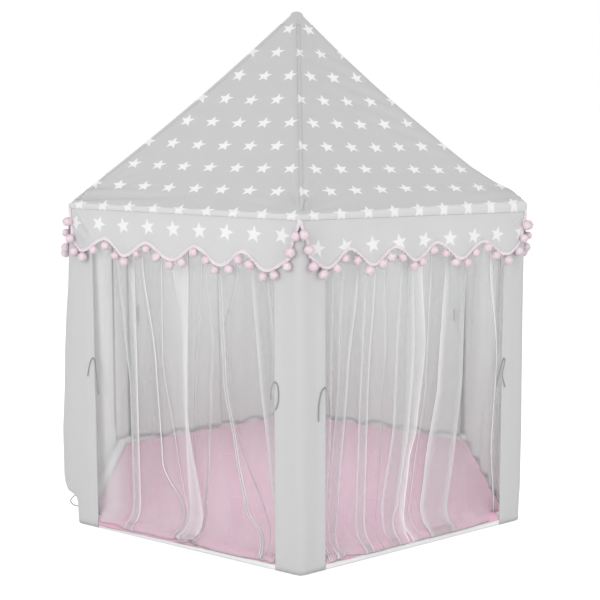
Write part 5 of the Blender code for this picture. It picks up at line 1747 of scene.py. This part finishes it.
# Painted highlight: the net is whitened along its fold edges
tree.links.new(blended(tree, pale, netting, TULLE_FOLD_HIGHLIGHT), shader.inputs["Base Color"])
tree.links.new(cover, shader.inputs["Alpha"])


def tulle_panel(name, node, face, sign, pleats, edge, lap=0.0):
    """A pleated tulle curtain with its overlocked hem."""
    start = HANG_INSET if sign > 0 else SIDE - HANG_INSET
    verts, marks, lengths = [], [], []
    side = 0.0 if sign > 0 else 3.0
    for row in range(TULLE_ROWS + 1):
        v = (row / TULLE_ROWS) ** TULLE_CROWDING
        height = mix(TULLE_HEM, HANG_TOP, v)
        line = pleated_row(start, sign, pleats, edge, height)
        behind = [lap * ease((abs(across - start) / abs(line[-1][0] - start) - 0.62) / 0.22) for across, _, _ in line]
        points = [tulle_point(face, across, out, height, v, back, side)
                  for (across, out, _), back in zip(line, behind)]
        verts += points
        marks += [min(max(mark, LAYERED), 1.0) for _, _, mark in line]
        lengths.append(route_length(points))
        columns = len(line) - 1
    run = [0.0]
    for before, after in zip(verts[:columns + 1], verts[1:columns + 1]):
        run.append(run[-1] + (after - before).length)
    faces, maps = [], []
    for j in range(TULLE_ROWS):
        for i in range(columns):
            a = j * (columns + 1) + i
            ring = (a, a + 1, a + columns + 2, a + columns + 1)
            corners = ((i, j), (i + 1, j), (i + 1, j + 1), (i, j + 1))
            if sign < 0:
                ring, corners = ring[::-1], corners[::-1]
            faces.append(ring)
            maps += [(run[x], (y / TULLE_ROWS) ** TULLE_CROWDING * (HANG_TOP - TULLE_HEM)) for x, y in corners]
    mesh = bpy.data.meshes.new(name)
    mesh.from_pydata([tuple(point) for point in verts], [], faces)
    mesh.uv_layers.new(name="cloth map").data.foreach_set("uv", [number for pair in maps for number in pair])
    mesh.attributes.new("fold cover and highlight", "FLOAT", "POINT").data.foreach_set("value", marks)
    mesh.shade_smooth()
    curtain = link_piece(name, mesh, tulle_finish, None)
    cord = grow(name + ".hem", line_mesh("hem", [verts[:columns + 1]]), round_rod, hem_finish, None, Radius=HEM_CORD,
                Sides=6)
    for piece in (curtain, cord):
        on_face(face, start, 0, TULLE_HEM)
        on_face(face, start + sign * 0.30, 0, TULLE_HEM - 0.055)
        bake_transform(piece)
    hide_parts(node)


tulle_panel("left_outer_curtain", "left_door_curtain_outer", FRONT_LEFT, 1, LEFT_OUTER_PLEATS, LEFT_OUTER_EDGE)
tulle_panel("left_inner_curtain", "left_door_curtain_inner", FRONT_LEFT, -1, LEFT_INNER_PLEATS, LEFT_INNER_EDGE,
            lap=LAP_DEPTH)
tulle_panel("right_inner_curtain", "right_door_curtain_inner", FRONT_RIGHT, 1, RIGHT_INNER_PLEATS, RIGHT_INNER_EDGE)
tulle_panel("right_outer_curtain", "right_door_curtain_outer", FRONT_RIGHT, -1, RIGHT_OUTER_PLEATS, RIGHT_OUTER_EDGE,
            lap=LAP_DEPTH)
